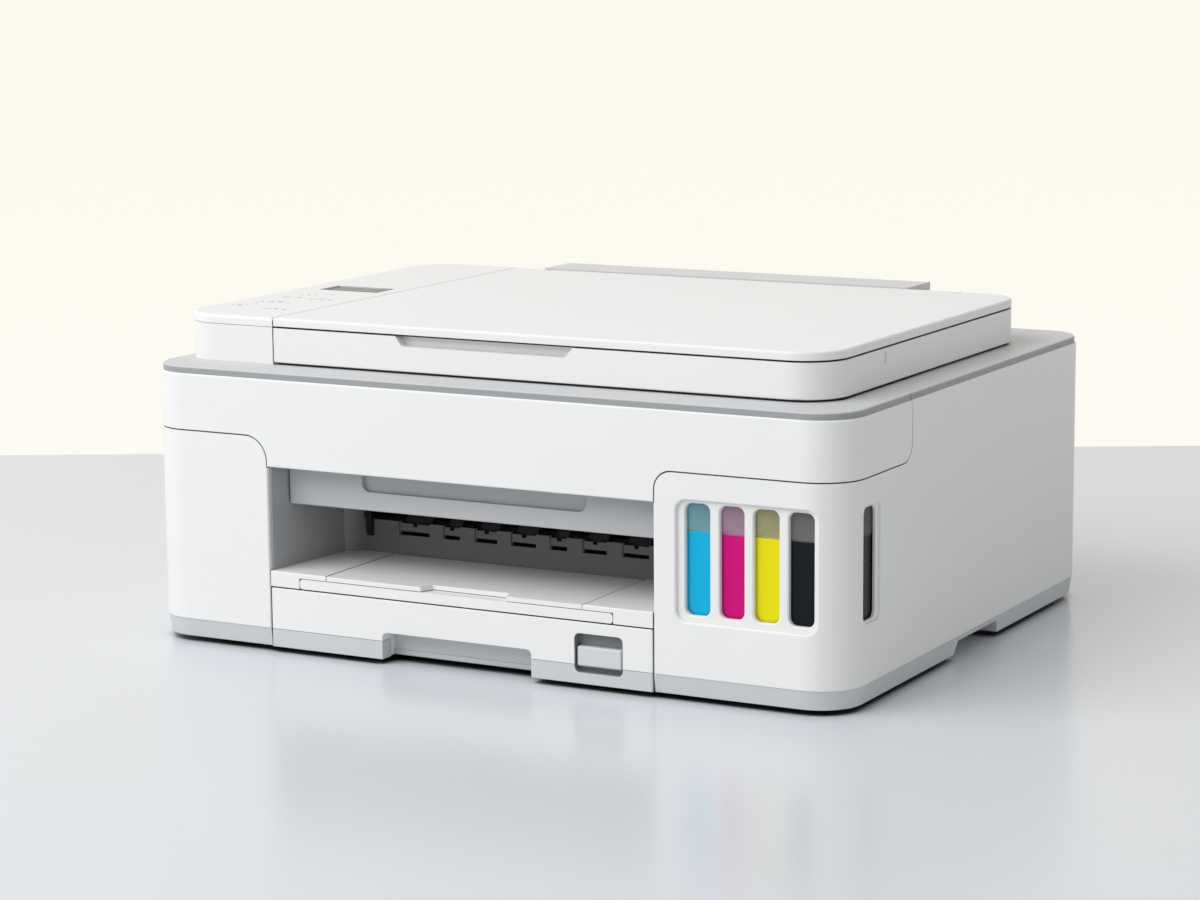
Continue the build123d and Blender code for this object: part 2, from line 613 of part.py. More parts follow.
# Rear cover: the light grey flap over the slot
with BuildPart() as rear_cover:
    cover_x0, cover_x1, cover_y0, cover_y1 = REAR_COVER
    extrude(rounded(*REAR_COVER, LID_BOTTOM, 1.5), amount=HEIGHT - LID_BOTTOM)
    with BuildSketch(Plane.YZ.offset(cover_x0 - 1)) as flap_view:
        with Locations(((cover_y0 + REAR_AXIS[0]) / 2, REAR_AXIS[1])):
            Rectangle(REAR_AXIS[0] - cover_y0, 2 * LID_HALF)
        with Locations(REAR_AXIS):
            Circle(LID_HALF)
    extrude(flap_view.sketch, amount=cover_x1 - cover_x0 + 2, mode=Mode.INTERSECT)
    block(
        cover_x0 + 2, cover_x1 - 2, cover_y0 + 2, REAR_AXIS[0] - 3, LID_BOTTOM - 1, HEIGHT - 2,
        mode=Mode.SUBTRACT,
    )
    for lug_x in REAR_LUGS:
        block(
            lug_x - 0.4, lug_x + 7.4, REAR_AXIS[0] - 3, cover_y1 + 1, LID_BOTTOM - 1, HEIGHT + 1,
            mode=Mode.SUBTRACT,
        )
        rod(lug_x - 6.4, lug_x + 13.4, *REAR_AXIS, 1.05, mode=Mode.SUBTRACT)
save(rear_cover, "rear_cover")


def along_chute(run, rise):
    """A point on the chute's steep part: run down from its top, rise off its face."""
    (y0, z0), (y1, z1) = CHUTE[0], CHUTE[1]
    length = math.hypot(y1 - y0, z1 - z0)
    uy, uz = (y1 - y0) / length, (z1 - z0) / length
    return (y0 + uy * run + uz * rise, z0 + uz * run - uy * rise)


# Rear paper guides, a left and a right one that close in together
guide_view = [(12, 0.4), (54, 0.4), (54, 7), (48, 11), (12, 11)]
foot_view = [(26, 0.4), (40, 0.4), (40, 1.8), (26, 1.8)]
for guide_name, guide_x in (("rear_guide_left", -119.3), ("rear_guide_right", 93.2)):
    with BuildPart() as rear_guide:
        guide_face = outline(Plane.YZ.offset(guide_x), [along_chute(*point) for point in guide_view])
        extrude(guide_face, amount=1.6)
        foot_x = guide_x if guide_x < 0 else guide_x - 20
        foot_face = outline(Plane.YZ.offset(foot_x), [along_chute(*point) for point in foot_view])
        extrude(foot_face, amount=21.6)
    save(rear_guide, guide_name)

# Rear pickup roller on its shaft, with a rim at each end of the hub
with BuildPart() as pickup_roller:
    rod(SLOT_X[0] - 1, SLOT_X[1] + 1, *PICKUP_YZ, SHAFT_R)
    rod(PAPER_X - PICKUP_HALF + 1, PAPER_X + PICKUP_HALF - 1, *PICKUP_YZ, PICKUP_R)
    rod(PAPER_X - PICKUP_HALF, PAPER_X + PICKUP_HALF, *PICKUP_YZ, PICKUP_R - 3)
save(pickup_roller, "pickup_roller")


def bay_half(y):
    """Half the bay's inner width at depth y, measured from the paper's middle."""
    start = FRONT + WALL
    return BAY_FRONT_HALF - BAY_SPLAY * (y - start) / (BAY_CORNER_Y - start)


def bay_plan(y0, y1, z, inset=0.0):
    """The bay's inner outline between two depths, with its cut back corners."""
    first_y1 = min(y1, BAY_CORNER_Y)
    stops = [(y0, bay_half(y0)), (first_y1, bay_half(first_y1))]
    if y1 > BAY_CORNER_Y:
        stops.append((BAY_BACK_Y, BAY_BACK_HALF))
    if y1 > BAY_BACK_Y:
        stops.append((y1, BAY_BACK_HALF))
    left_side = [(PAPER_X - half + inset, y) for y, half in stops]
    right_side = [(PAPER_X + half - inset, y) for y, half in stops]
    return outline(Plane.XY.offset(z), left_side + right_side[::-1])


# Bay liner: both side walls and the back wall with a notch at each exit roller
with BuildPart() as bay_liner:
    liner_low = TRAY_BOTTOM - 0.4
    back_x = (PAPER_X - BAY_BACK_HALF, PAPER_X + BAY_BACK_HALF)
    extrude(bay_plan(FRONT + WALL, BAY_BACK_Y + 2, liner_low, -2), amount=118 - liner_low)
    extrude(bay_plan(FRONT + WALL - 1, BAY_BACK_Y, TRAY_BOTTOM - 1), amount=100, mode=Mode.SUBTRACT)
    block(-150, 130, -112, -90, 84, 120, mode=Mode.SUBTRACT)
    block(*back_x, -99, -90, BAY_SILL, 100, mode=Mode.SUBTRACT)
    block(-150, 130, -99, -90, TRAY_BOTTOM - 1, TRAY_TOP, mode=Mode.SUBTRACT)
    for x0, x1 in NOTCHES:
        # a sunk tab with a slit under it and a dip in its top edge
        middle = (x0 + x1) / 2
        block(x0, x1, -99, BAY_BACK_Y + NOTCH_DEEP, NOTCH_Z[0], BAY_SILL + 1, mode=Mode.SUBTRACT)
        block(x0 + 0.5, x1 - 0.5, -99, -90, *NOTCH_Z, mode=Mode.SUBTRACT)
        block(x0 + 0.5, x1 - 0.5, -99, -90, BAY_SILL - 1, BAY_SILL + 1, mode=Mode.SUBTRACT)
        block(middle - 1.4, middle + 1.4, -99, -90, BAY_SILL - 2.6, BAY_SILL, mode=Mode.SUBTRACT)
    rod(-150, 130, *FLAP_AXIS, 1.55, mode=Mode.SUBTRACT)
save(bay_liner, "bay_liner")

# Output tray: fixed floor of the bay, pocketed for the two sliding pieces
with BuildPart() as output_tray:
    extrude(bay_plan(FRONT, -50, TRAY_BOTTOM), amount=TRAY_TOP - TRAY_BOTTOM)
    front_edges = output_tray.edges().filter_by(Axis.X).group_by(Axis.Y)[0]
    chamfer(front_edges.sort_by(Axis.Z)[-1], 0.5)
    slide_x = (SLIDE_X[0] - SLIDE_GAP, SLIDE_X[1] + SLIDE_GAP)
    panel_x = (PANEL_X[0] - SLIDE_GAP, PANEL_X[1] + SLIDE_GAP)
    slot_top = SLIDE_TOP + SLIDE_GAP
    block(*slide_x, FRONT - 1, -49, 38.3, slot_top, mode=Mode.SUBTRACT)
    block(*slide_x, FRONT - 1, LIP_BACK + SLIDE_GAP, TRAY_BOTTOM - 1, slot_top, mode=Mode.SUBTRACT)
    block(*panel_x, FRONT - 1, PANEL_BACK + SLIDE_GAP, SLIDE_TOP - 0.4, TRAY_TOP + 1, mode=Mode.SUBTRACT)
    # bearing for the exit roller's right end
    block(83.8, 86.2, EXIT_Y - 5, EXIT_Y + 5, TRAY_TOP - 1, 65)
    rod(83, 87, EXIT_Y, ROLLER_Z, SHAFT_R + 0.05, mode=Mode.SUBTRACT)
save(output_tray, "output_tray")

# Sliding tray: front lip and the plate behind it
with BuildPart() as sliding_tray:
    extrude(front_rounded(*SLIDE_X, TRAY_BOTTOM, SLIDE_TOP, LIP_BACK, 1.8), amount=LIP_BACK - FRONT)
    block(SLIDE_X[0] + 1, SLIDE_X[1] - 1, LIP_BACK - 0.5, -46, 38.6, SLIDE_TOP)
save(sliding_tray, "sliding_tray")

# Tray extension: the panel let into the tray's top, with its finger notch
with BuildPart() as tray_extension:
    block(*PANEL_X, FRONT + 0.2, PANEL_BACK, SLIDE_TOP + SLIDE_GAP, TRAY_TOP - 0.1)
    notch = [(-34.8, FRONT - 1), (-31.6, -160.7), (14.8, -160.7), (18, FRONT - 1)]
    extrude(outline(Plane.XY.offset(41), notch), amount=5, mode=Mode.SUBTRACT)
save(tray_extension, "tray_extension")

# Inner output cover: a hanging flap with a finger scoop, on two pins
with BuildPart() as output_cover:
    cover_half = bay_half(-146) - 0.5
    flap_points = [(-152, FLAP_LOW), (-152.6, 108), (-151, 112.3), (-148, 112.3), (-147, FLAP_LOW)]
    with BuildSketch(Plane.YZ.offset(PAPER_X - cover_half)) as flap_side:
        with BuildLine():
            Polyline(*flap_points, close=True)
        make_face()
        fillet(flap_side.vertices().group_by(Axis.Y)[0], 1.2)
    extrude(flap_side.sketch, amount=2 * cover_half)
    extrude(front_rounded(*SCOOP, -149.6, 5), amount=5, mode=Mode.SUBTRACT)
    rod(PAPER_X - cover_half - 2, PAPER_X + cover_half + 2, *FLAP_AXIS, 1.5)
save(output_cover, "output_cover")

# Exit roof: dark plate over the bay's back, with the hangers of the star wheels
with BuildPart() as exit_roof:
    extrude(bay_plan(-143, -79, 79.6), amount=2)
    for hang_x in HANGERS:
        block(hang_x - 1.5, hang_x + 1.5, EXIT_Y - 3, EXIT_Y + 3, 68.6, 80)
    rod(-110, 90, EXIT_Y, STAR_Z, 1.05, mode=Mode.SUBTRACT)
    # paper sensor arm at the left end of the slot
    arm_view = [(-101.6, 80), (-101.6, 58), (-100.8, 53.4), (-99.2, 53.4), (-98.9, 58), (-98.9, 80)]
    extrude(outline(Plane.YZ.offset(-110.2), arm_view), amount=3.4)
    # post under the ink tube joint
    block(-30, -18, -83, -79, 81, 104)
save(exit_roof, "exit_roof")

# Star wheels: thin toothed discs, one over each notch, on one spring shaft
with BuildPart() as star_wheels:
    rod(HANGERS[0] - 3, HANGERS[-1] + 3, EXIT_Y, STAR_Z, 1.0)
    for x0, x1 in NOTCHES:
        middle = (x0 + x1) / 2
        points = []
        for step in range(2 * STAR_POINTS):
            radius = STAR_R if step % 2 == 0 else STAR_R - 1.7
            angle = math.pi * step / STAR_POINTS
            points.append((EXIT_Y + radius * math.cos(angle), STAR_Z + radius * math.sin(angle)))
        extrude(outline(Plane.YZ.offset(middle - 0.4), points), amount=0.8)
        rod(middle - 3, middle + 3, EXIT_Y, STAR_Z, 2.2)
save(star_wheels, "star_wheels")

# Exit roller: shaft, a rubber roll at each notch, and its end gear
with BuildPart() as exit_roller:
    rod(GEAR_X - 3, 88, EXIT_Y, ROLLER_Z, SHAFT_R)
    for x0, x1 in NOTCHES:
        rod(x0 + 1.2, x1 - 1.2, EXIT_Y, ROLLER_Z, EXIT_R - 0.06)
    with BuildSketch(Plane.YZ.offset(GEAR_X)) as end_gear:
        with Locations((EXIT_Y, ROLLER_Z)):
            add(gear_face(Plane.XY, END_TEETH, GEAR_MODULE, 0))
    extrude(end_gear.sketch, amount=GEAR_WIDTH)
save(exit_roller, "exit_roller")

# Feed roller: shaft, gritted roller, end gear and the encoder disc
with BuildPart() as feed_roller:
    rod(GEAR_X - 6, FRAME_R + 3, FEED_Y, ROLLER_Z, 3)
    rod(PAPER_X - 108, PAPER_X + 108, FEED_Y, ROLLER_Z, FEED_R)
    with BuildSketch(Plane.YZ.offset(GEAR_X)) as end_gear:
        with Locations((FEED_Y, ROLLER_Z)):
            add(gear_face(Plane.XY, END_TEETH, GEAR_MODULE, 180))
    extrude(end_gear.sketch, amount=GEAR_WIDTH)
    rod(GEAR_X - 4.5, GEAR_X - 3.5, FEED_Y, ROLLER_Z, 18)
save(feed_roller, "feed_roller")

# Idler gear between the two
with BuildPart() as idler_gear:
    with BuildSketch(Plane.YZ.offset(GEAR_X)) as idler_face:
        with Locations((IDLER_Y, ROLLER_Z)):
            add(gear_face(Plane.XY, IDLER_TEETH, GEAR_MODULE, 180 / IDLER_TEETH))
            Circle(SHAFT_R + 0.05, mode=Mode.SUBTRACT)
    extrude(idler_face.sketch, amount=GEAR_WIDTH)
    with BuildSketch(Plane.YZ.offset(GEAR_X - 1)) as web_pocket:
        with Locations((IDLER_Y, ROLLER_Z)):
            Circle(26)
            Circle(6, mode=Mode.SUBTRACT)
    extrude(web_pocket.sketch, amount=2.5, mode=Mode.SUBTRACT)
save(idler_gear, "idler_gear")

# Side frames: two pressed plates with the shafts' bearings and the idler's stub
with BuildPart() as side_frames:
    left_plate = [(-100, PAN_FLOOR_TOP), (-100, 74), (-60, 116), (6, 116), (22, 100), (22, PAN_FLOOR_TOP)]
    right_plate = [(-66, PAN_FLOOR_TOP), (-66, 90), (-40, 116), (6, 116), (22, 100), (22, PAN_FLOOR_TOP)]
    extrude(outline(Plane.YZ.offset(FRAME_L - PLATE), left_plate), amount=PLATE)
    extrude(outline(Plane.YZ.offset(FRAME_R), right_plate), amount=PLATE)
    for plate_x in (FRAME_L - PLATE, FRAME_R):
        rod(plate_x - 1, plate_x + 3, FEED_Y, ROLLER_Z, 3.05, mode=Mode.SUBTRACT)
    rod(FRAME_L - 3, FRAME_L + 1, EXIT_Y, ROLLER_Z, SHAFT_R + 0.05, mode=Mode.SUBTRACT)
    rod(GEAR_X - 1.5, FRAME_L, IDLER_Y, ROLLER_Z, SHAFT_R)
    block(FRAME_L - 3, FRAME_L + 1, -56, -26, 14, 30, mode=Mode.SUBTRACT)
    block(FRAME_R - 1, FRAME_R + 3, -46, -16, 14, 36, mode=Mode.SUBTRACT)
    # guide rail: a folded strip between the plates, with the idler pulley's pin
    rail_face = [
        (WEB_Y[0], WEB_Z[0]), (8, WEB_Z[0]), (8, WEB_Z[0] + PLATE), (WEB_Y[1], WEB_Z[0] + PLATE),
        (WEB_Y[1], WEB_Z[1]), (WEB_Y[0], WEB_Z[1]),
    ]
    extrude(outline(Plane.YZ.offset(FRAME_L), rail_face), amount=FRAME_R - FRAME_L)
    stub(-12, 0, -PULLEY_X, BELT_Z, 4, mode=Mode.SUBTRACT)
    stub(-17, WEB_Y[0] + 0.5, PULLEY_X, BELT_Z, 1.5)
save(side_frames, "side_frames")

# Platen: ribbed bed under the print zone
with BuildPart() as platen:
    block(FRAME_L, FRAME_R, -74, -6, 50, 54)
    block(FRAME_L, 72, -74, -6, 54, 60)
    block(FRAME_L + 4, 68, -66, -14, 56, 61, mode=Mode.SUBTRACT)
    for rib in range(14):
        rib_x = PAPER_X - 104 + rib * 13
        block(rib_x - 0.8, rib_x + 0.8, -74, -6, 55, PAPER_Z - 0.8)
save(platen, "platen")

# Capping unit that the print head parks on
with BuildPart() as capping_unit:
    block(76, 146, -64, -14, 54, 60)
    for cap_x in (83, 112):
        block(cap_x, cap_x + 24, -52, -26, 60, 66.4)
        block(cap_x + 2, cap_x + 22, -50, -28, 62, 67, mode=Mode.SUBTRACT)
    block(139, 140.2, -52, -26, 60, 67)
save(capping_unit, "capping_unit")

# Carriage motor behind the rail
with BuildPart() as carriage_motor:
    stub(WEB_Y[1], 24.5, -PULLEY_X, BELT_Z, 13)
    chamfer(carriage_motor.edges().group_by(Axis.Y)[-1], 1.5)
    stub(WEB_Y[1] - 1.2, WEB_Y[1], -PULLEY_X, BELT_Z, 3.9)
    stub(WEB_Y[1] - 2, 25, -PULLEY_X, BELT_Z, 1.05, mode=Mode.SUBTRACT)
save(carriage_motor, "carriage_motor")

# Timing belt in one closed loop
with BuildPart() as timing_belt:
    with BuildSketch(Plane.XZ.offset(-BELT_Y[1])) as loop:
        with Locations((0, BELT_Z)):
            SlotCenterToCenter(2 * PULLEY_X, 2 * BELT_R)
            SlotCenterToCenter(2 * PULLEY_X, 2 * (BELT_R - BELT_THICK), mode=Mode.SUBTRACT)
    extrude(loop.sketch, amount=BELT_Y[1] - BELT_Y[0])
save(timing_belt, "timing_belt")

# Belt pulleys: the driving one has the motor's shaft, the idler a bore
with BuildPart() as motor_pulley:
    for near, far, radius in PULLEY_STEPS:
        stub(near, far, -PULLEY_X, BELT_Z, radius)
    stub(-16.8, 20, -PULLEY_X, BELT_Z, 1)
save(motor_pulley, "motor_pulley")
with BuildPart() as idler_pulley:
    for near, far, radius in PULLEY_STEPS:
        stub(near, far, PULLEY_X, BELT_Z, radius)
    stub(-20, 20, PULLEY_X, BELT_Z, 1.55, mode=Mode.SUBTRACT)
save(idler_pulley, "idler_pulley")

# Carriage: open box for the two heads, saddle over the rail and clamp on the belt
with BuildPart() as carriage:
    saddle_x = (CARRIAGE_MIDDLE - 14, CARRIAGE_MIDDLE + 14)
    block(*CARRIAGE_X, *CARRIAGE_Y, PAPER_Z + 2, 104)
    fillet(carriage.edges().filter_by(Axis.Z).group_by(Axis.Y)[0], 4)
    for head_x in HEADS_X:
        block(
            head_x, head_x + HEAD_W, CARRIAGE_Y[0] + 2, CARRIAGE_Y[1] - 2, PAPER_Z + 5, 106,
            mode=Mode.SUBTRACT,
        )
        block(
            head_x + 6, head_x + HEAD_W - 6, CARRIAGE_Y[0] + 10, CARRIAGE_Y[1] - 10, PAPER_Z, 80,
            mode=Mode.SUBTRACT,
        )
    # the front of the box is cut low, to load the heads
    cut_x = (CARRIAGE_X[0] - 1, CARRIAGE_X[1] + 1)
    block(*cut_x, CARRIAGE_Y[0] - 1, CARRIAGE_Y[0] + 8, 90, 106, mode=Mode.SUBTRACT)
    block(*saddle_x, CARRIAGE_Y[1] - 0.5, WEB_Y[0] - 0.3, 102, 111)
    block(*saddle_x, WEB_Y[0] - 1, -4.5, WEB_Z[1] + 0.4, 111)
    block(*saddle_x, WEB_Y[1] + 0.3, -4.5, 101, 111)
    for jaw in (BELT_Z - BELT_R - 2.8, BELT_Z - BELT_R + BELT_THICK + 0.3):
        block(CARRIAGE_MIDDLE - 7, CARRIAGE_MIDDLE + 7, CARRIAGE_Y[1] - 0.5, BELT_Y[1] - 0.5, jaw, jaw + 2.5)
save(carriage, "carriage")

# Two print heads, dropped into the carriage
with BuildPart() as print_heads:
    for head_x in HEADS_X:
        block(head_x + 0.3, head_x + HEAD_W - 0.3, CARRIAGE_Y[0] + 8.5, CARRIAGE_Y[1] - 2.3, PAPER_Z + 5, 100)
        block(
            head_x + 6.3, head_x + HEAD_W - 6.3, CARRIAGE_Y[0] + 10.3, CARRIAGE_Y[1] - 10.3,
            PAPER_Z + 1.2, PAPER_Z + 6,
        )
        block(head_x + 8, head_x + HEAD_W - 8, CARRIAGE_Y[0] + 16, CARRIAGE_Y[1] - 14, 99, 102)
save(print_heads, "print_heads")


def inside_walls(x0, x1, y0, y1, z, gap):
    """A rectangle cut back where it would meet the housing's round inner corner."""
    with BuildSketch(Plane.XY.offset(z)) as drawn:
        with Locations(((x0 + x1) / 2, (y0 + y1) / 2)):
            Rectangle(x1 - x0, y1 - y0)
        reach = WALL + gap
        RectangleRounded(WIDTH - 2 * reach, DEPTH - 2 * reach, CORNER_R - reach, mode=Mode.INTERSECT)
    return drawn.sketch


# Ink tanks: four clear hollow boxes with filler necks, one behind each window
with BuildPart() as ink_tanks:
    tank_h = TANK_Z[1] - TANK_Z[0]
    for neck_x, (x0, x1) in zip(NECK_X, TANK_X):
        extrude(inside_walls(x0, x1, TANK_FRONT_Y, TANK_BACK_Y, TANK_Z[0], 0.5), amount=tank_h)
        hollow = inside_walls(
            x0 + TANK_WALL, x1 - TANK_WALL, TANK_FRONT_Y + TANK_WALL, TANK_BACK_Y - TANK_WALL,
            TANK_Z[0] + TANK_WALL, 0.5 + TANK_WALL,
        )
        extrude(hollow, amount=tank_h - 2 * TANK_WALL, mode=Mode.SUBTRACT)
        post(neck_x, NECK_Y, TANK_Z[1] - 0.5, TANK_Z[1] + 3, 5)
        post(neck_x, NECK_Y, TANK_Z[1] - 3, TANK_Z[1] + 4, 3.5, mode=Mode.SUBTRACT)
        # hinge ears for the cap, and the outlet at the foot of the back wall
        for ear in (neck_x - 6.6, neck_x + 4.6):
            block(ear, ear + 2, CAP_AXIS[0] - 2, CAP_AXIS[0] + 2, TANK_Z[1] - 0.5, TANK_Z[1] + 4.5)
        rod(neck_x - 6, neck_x + 6, *CAP_AXIS, 0.8)
        with BuildSketch(Plane.XZ.offset(-TANK_BACK_Y)) as outlet:
            with Locations((neck_x, OUTLET_Z)):
                Circle(2.6)
                Circle(TUBE_R + 0.05, mode=Mode.SUBTRACT)
        extrude(outlet.sketch, amount=-3)
save(ink_tanks, "ink_tanks")

# Tank caps: a plug under a lever that swings back on its pin
for ink_name, neck_x in zip(("cyan", "magenta", "yellow", "black"), NECK_X):
    with BuildPart() as cap:
        cap_x = (neck_x - CAP_HALF, neck_x + CAP_HALF)
        lever_top = TANK_Z[1] + 5.3
        block(*cap_x, NECK_Y - 9, NECK_Y + 12.5, lever_top - 2, lever_top)
        fillet(cap.edges().filter_by(Axis.Z).group_by(Axis.Y)[0], 3)
        block(*cap_x, NECK_Y + 11, CAP_AXIS[0], CAP_AXIS[1], lever_top)
        rod(*cap_x, *CAP_AXIS, 1.9)
        rod(neck_x - 5, neck_x + 5, *CAP_AXIS, 0.85, mode=Mode.SUBTRACT)
        post(neck_x, NECK_Y, TANK_Z[1] + 0.5, TANK_Z[1] + 3.5, 2.8)
    save(cap, f"cap_{ink_name}")

# Ink tubes from the tanks up and along to the joint over the bay
with BuildPart() as ink_tubes:
    for lane, neck_x in enumerate(NECK_X):
        start = (neck_x, TANK_BACK_Y + 0.2, OUTLET_Z)
        lane_y = -80 + 3.5 * lane
        with BuildLine() as route:
            FilletPolyline(
                start, (neck_x, lane_y, OUTLET_Z), (neck_x, lane_y, TUBE_Z), (-22, lane_y, TUBE_Z),
                radius=[2.4, 6],
            )
        with BuildSketch(Plane(origin=start, z_dir=(0, 1, 0))) as bore:
            Circle(TUBE_R)
        sweep(bore.sketch, path=route.wire())
    block(-30, -20, -83.5, -66.5, TUBE_Z - 4, TUBE_Z + 4)
save(ink_tubes, "ink_tubes")

# Drawer body: open box for the sheets
with BuildPart() as drawer:
    block(*DRAWER_X, *DRAWER_Y, *DRAWER_Z)
    block(
        DRAWER_X[0] + DRAWER_WALL, DRAWER_X[1] - DRAWER_WALL,
        DRAWER_Y[0] + DRAWER_WALL, DRAWER_Y[1] - DRAWER_WALL,
        DRAWER_FLOOR, DRAWER_Z[1] + 1, mode=Mode.SUBTRACT,
    )
    post(PAPER_X, PINION_Y, DRAWER_FLOOR - 0.5, DRAWER_FLOOR + 3, SHAFT_R)
save(drawer, "drawer")


hand_notch = front_rounded(*HAND_NOTCH, DRAWER_Y[0] + 1, HAND_NOTCH_R)


def front_slice(z0, z1):
    """A slice of the drawer's front between two heights, with the hand notch and latch recess."""
    with BuildPart() as front:
        block(*DRAWER_FRONT_X, FRONT, DRAWER_Y[0], z0, z1)
        extrude(hand_notch, amount=20, mode=Mode.SUBTRACT)
        extrude(front_rounded(*LATCH, FRONT + 5, 3), amount=6, mode=Mode.SUBTRACT)
        for end in (0, -1):
            front_edges = front.edges().filter_by(Axis.Z).group_by(Axis.Y)[0]
            fillet(front_edges.sort_by(Axis.X)[end], 0.8)
    return front


# Drawer front: the white board, with a thinner skirt that reaches down behind the band
with BuildPart() as drawer_front:
    add(front_slice(BASE_TOP, DRAWER_FRONT_TOP).part)
    top_edge = drawer_front.edges().filter_by(Axis.X).group_by(Axis.Z)[-1].sort_by(Axis.Y)[0]
    chamfer(top_edge, 0.5)
    block(*DRAWER_FRONT_X, SKIRT_Y, DRAWER_Y[0], FOOT_HEIGHT + 0.5, BASE_TOP + 1)
    extrude(hand_notch, amount=20, mode=Mode.SUBTRACT)
save(drawer_front, "drawer_front")

# Grey band that carries the base's line across the drawer
with BuildPart() as drawer_band:
    add(front_slice(FOOT_HEIGHT, BASE_TOP - 0.2).part)
    block(*DRAWER_FRONT_X, SKIRT_Y - 0.2, DRAWER_Y[0] + 1, FOOT_HEIGHT - 1, BASE_TOP, mode=Mode.SUBTRACT)
save(drawer_band, "drawer_band")

# Latch button that slides up in its recess
with BuildPart() as latch_button:
    extrude(front_rounded(LATCH[0] + 1, LATCH[1] - 1, *LATCH_BUTTON, FRONT + 4.7, 1), amount=3.9)
    chamfer(latch_button.edges().filter_by(Axis.X).group_by(Axis.Y)[0], 0.8)
save(latch_button, "latch_button")


def rack_teeth(y, direction, x0, x1, phase_x):
    """Rack teeth along X between x0 and x1, pointing towards +Y or -Y from the pitch line y."""
    pitch = math.pi * RACK_MODULE
    first = math.ceil((x0 + pitch / 2 - phase_x) / pitch)
    last = math.floor((x1 - pitch / 2 - phase_x) / pitch)
    root = y - direction * 1.05 * RACK_MODULE
    tip = y + direction * 0.75 * RACK_MODULE
    points = [(x0, root - direction * 2.6), (x0, root)]
    for tooth in range(first, last + 1):
        middle = phase_x + tooth * pitch
        points += [(middle - 1.1, root), (middle - 0.42, tip), (middle + 0.42, tip), (middle + 1.1, root)]
    points += [(x1, root), (x1, root - direction * 2.6)]
    return outline(Plane.XY.offset(RACK_Z[0]), points)


# Drawer guides: each has an upright and a rack that meets the pinion
tooth_x = PAPER_X + math.pi * RACK_MODULE / 2
rack_high = RACK_Z[1] - RACK_Z[0]
outer = GUIDE_HALF + 1.8
with BuildPart() as paper_guide_left:
    block(PAPER_X - outer, PAPER_X - GUIDE_HALF, *GUIDE_Y, RACK_Z[0], 30)
    extrude(rack_teeth(PINION_Y - PINION_R, 1, PAPER_X - outer, 20, tooth_x), amount=rack_high)
save(paper_guide_left, "paper_guide_left")
with BuildPart() as paper_guide_right:
    block(PAPER_X + GUIDE_HALF, PAPER_X + outer, *GUIDE_Y, RACK_Z[0], 30)
    extrude(rack_teeth(PINION_Y + PINION_R, -1, -46, PAPER_X + outer, tooth_x), amount=rack_high)
save(paper_guide_right, "paper_guide_right")

with BuildPart() as guide_pinion:
    with BuildSketch(Plane.XY.offset(RACK_Z[0])) as pinion_face:
        with Locations((PAPER_X, PINION_Y)):
            add(gear_face(Plane.XY, PINION_TEETH, RACK_MODULE, 90))
            Circle(SHAFT_R + 0.05, mode=Mode.SUBTRACT)
    extrude(pinion_face.sketch, amount=rack_high)
save(guide_pinion, "guide_pinion")

# End stop behind the sheets
with BuildPart() as end_guide:
    block(PAPER_X - 16, PAPER_X + 16, 144, 145.6, RACK_Z[0], 28)
    block(PAPER_X - 12, PAPER_X + 12, 110, 144.5, RACK_Z[0], RACK_Z[0] + 1.6)
save(end_guide, "end_guide")

# Electronics: key board in the panel and the main board on its standoffs
with BuildPart() as circuit_boards:
    block(-200, -146, -122, 10, *BOARD_Z)
    for key_x, key_y in KEYS.values():
        post(key_x, key_y, BOARD_Z[1], 171, 2.6)
    block(*DISPLAY, BOARD_Z[1], 173)
    block(-190, -188.4, 20, 140, 40, 120)
    for board_y in (26, 134):
        for board_z in (46, 114):
            rod(LEFT + WALL, -190, board_y, board_z, 2.5)
    block(-188.4, -185, 60, 84, 84, 108)
    block(-188.4, -182, 100, 112, 50, 66)
save(circuit_boards, "circuit_boards")

# Power supply: a vented metal case on the pan's floor
with BuildPart() as power_supply:
    block(-172, -130, 60, 144, PAN_FLOOR_TOP, 46)
    fillet(power_supply.edges().filter_by(Axis.Z), 2)
    for slot in range(6):
        slot_y = 72 + slot * 11
        block(-173, -170.5, slot_y, slot_y + 5, 14, 38, mode=Mode.SUBTRACT)
save(power_supply, "power_supply")

# Sockets at the back: a two-pin mains inlet and a square data port
with BuildPart() as rear_sockets:
    inlet_x = (INLET[0] + INLET[1]) / 2
    inlet_z = (INLET[2] + INLET[3]) / 2
    pin_spots = [(inlet_x - 3.3, inlet_z), (inlet_x + 3.3, inlet_z)]
    block(INLET[0] + 0.2, INLET[1] - 0.2, 144, BACK - 0.4, INLET[2] + 0.2, INLET[3] - 0.2)
    with BuildSketch(Plane.XZ.offset(-BACK + 12)) as socket:
        with Locations(*pin_spots):
            Circle(4.6)
        with Locations((inlet_x, inlet_z)):
            Rectangle(6.6, 6.5)
    extrude(socket.sketch, amount=-20, mode=Mode.SUBTRACT)
    with BuildSketch(Plane.XZ.offset(-BACK + 13)) as pins:
        with Locations(*pin_spots):
            Circle(1.2)
    extrude(pins.sketch, amount=-10)
    port_x = (DATA_PORT[0] + DATA_PORT[1]) / 2
    port_z = (DATA_PORT[2] + DATA_PORT[3]) / 2
    block(DATA_PORT[0] + 0.2, DATA_PORT[1] - 0.2, 150, BACK - 0.4, DATA_PORT[2] + 0.2, DATA_PORT[3] - 0.2)
    with BuildSketch(Plane.XZ.offset(-BACK + 10)) as port:
        with Locations((port_x, port_z)):
            Rectangle(8.6, 7.9)
    extrude(port.sketch, amount=-20, mode=Mode.SUBTRACT)
    block(port_x - 2.8, port_x + 2.8, 158, BACK - 1.5, port_z - 1.4, port_z + 1.6)
save(rear_sockets, "rear_sockets")
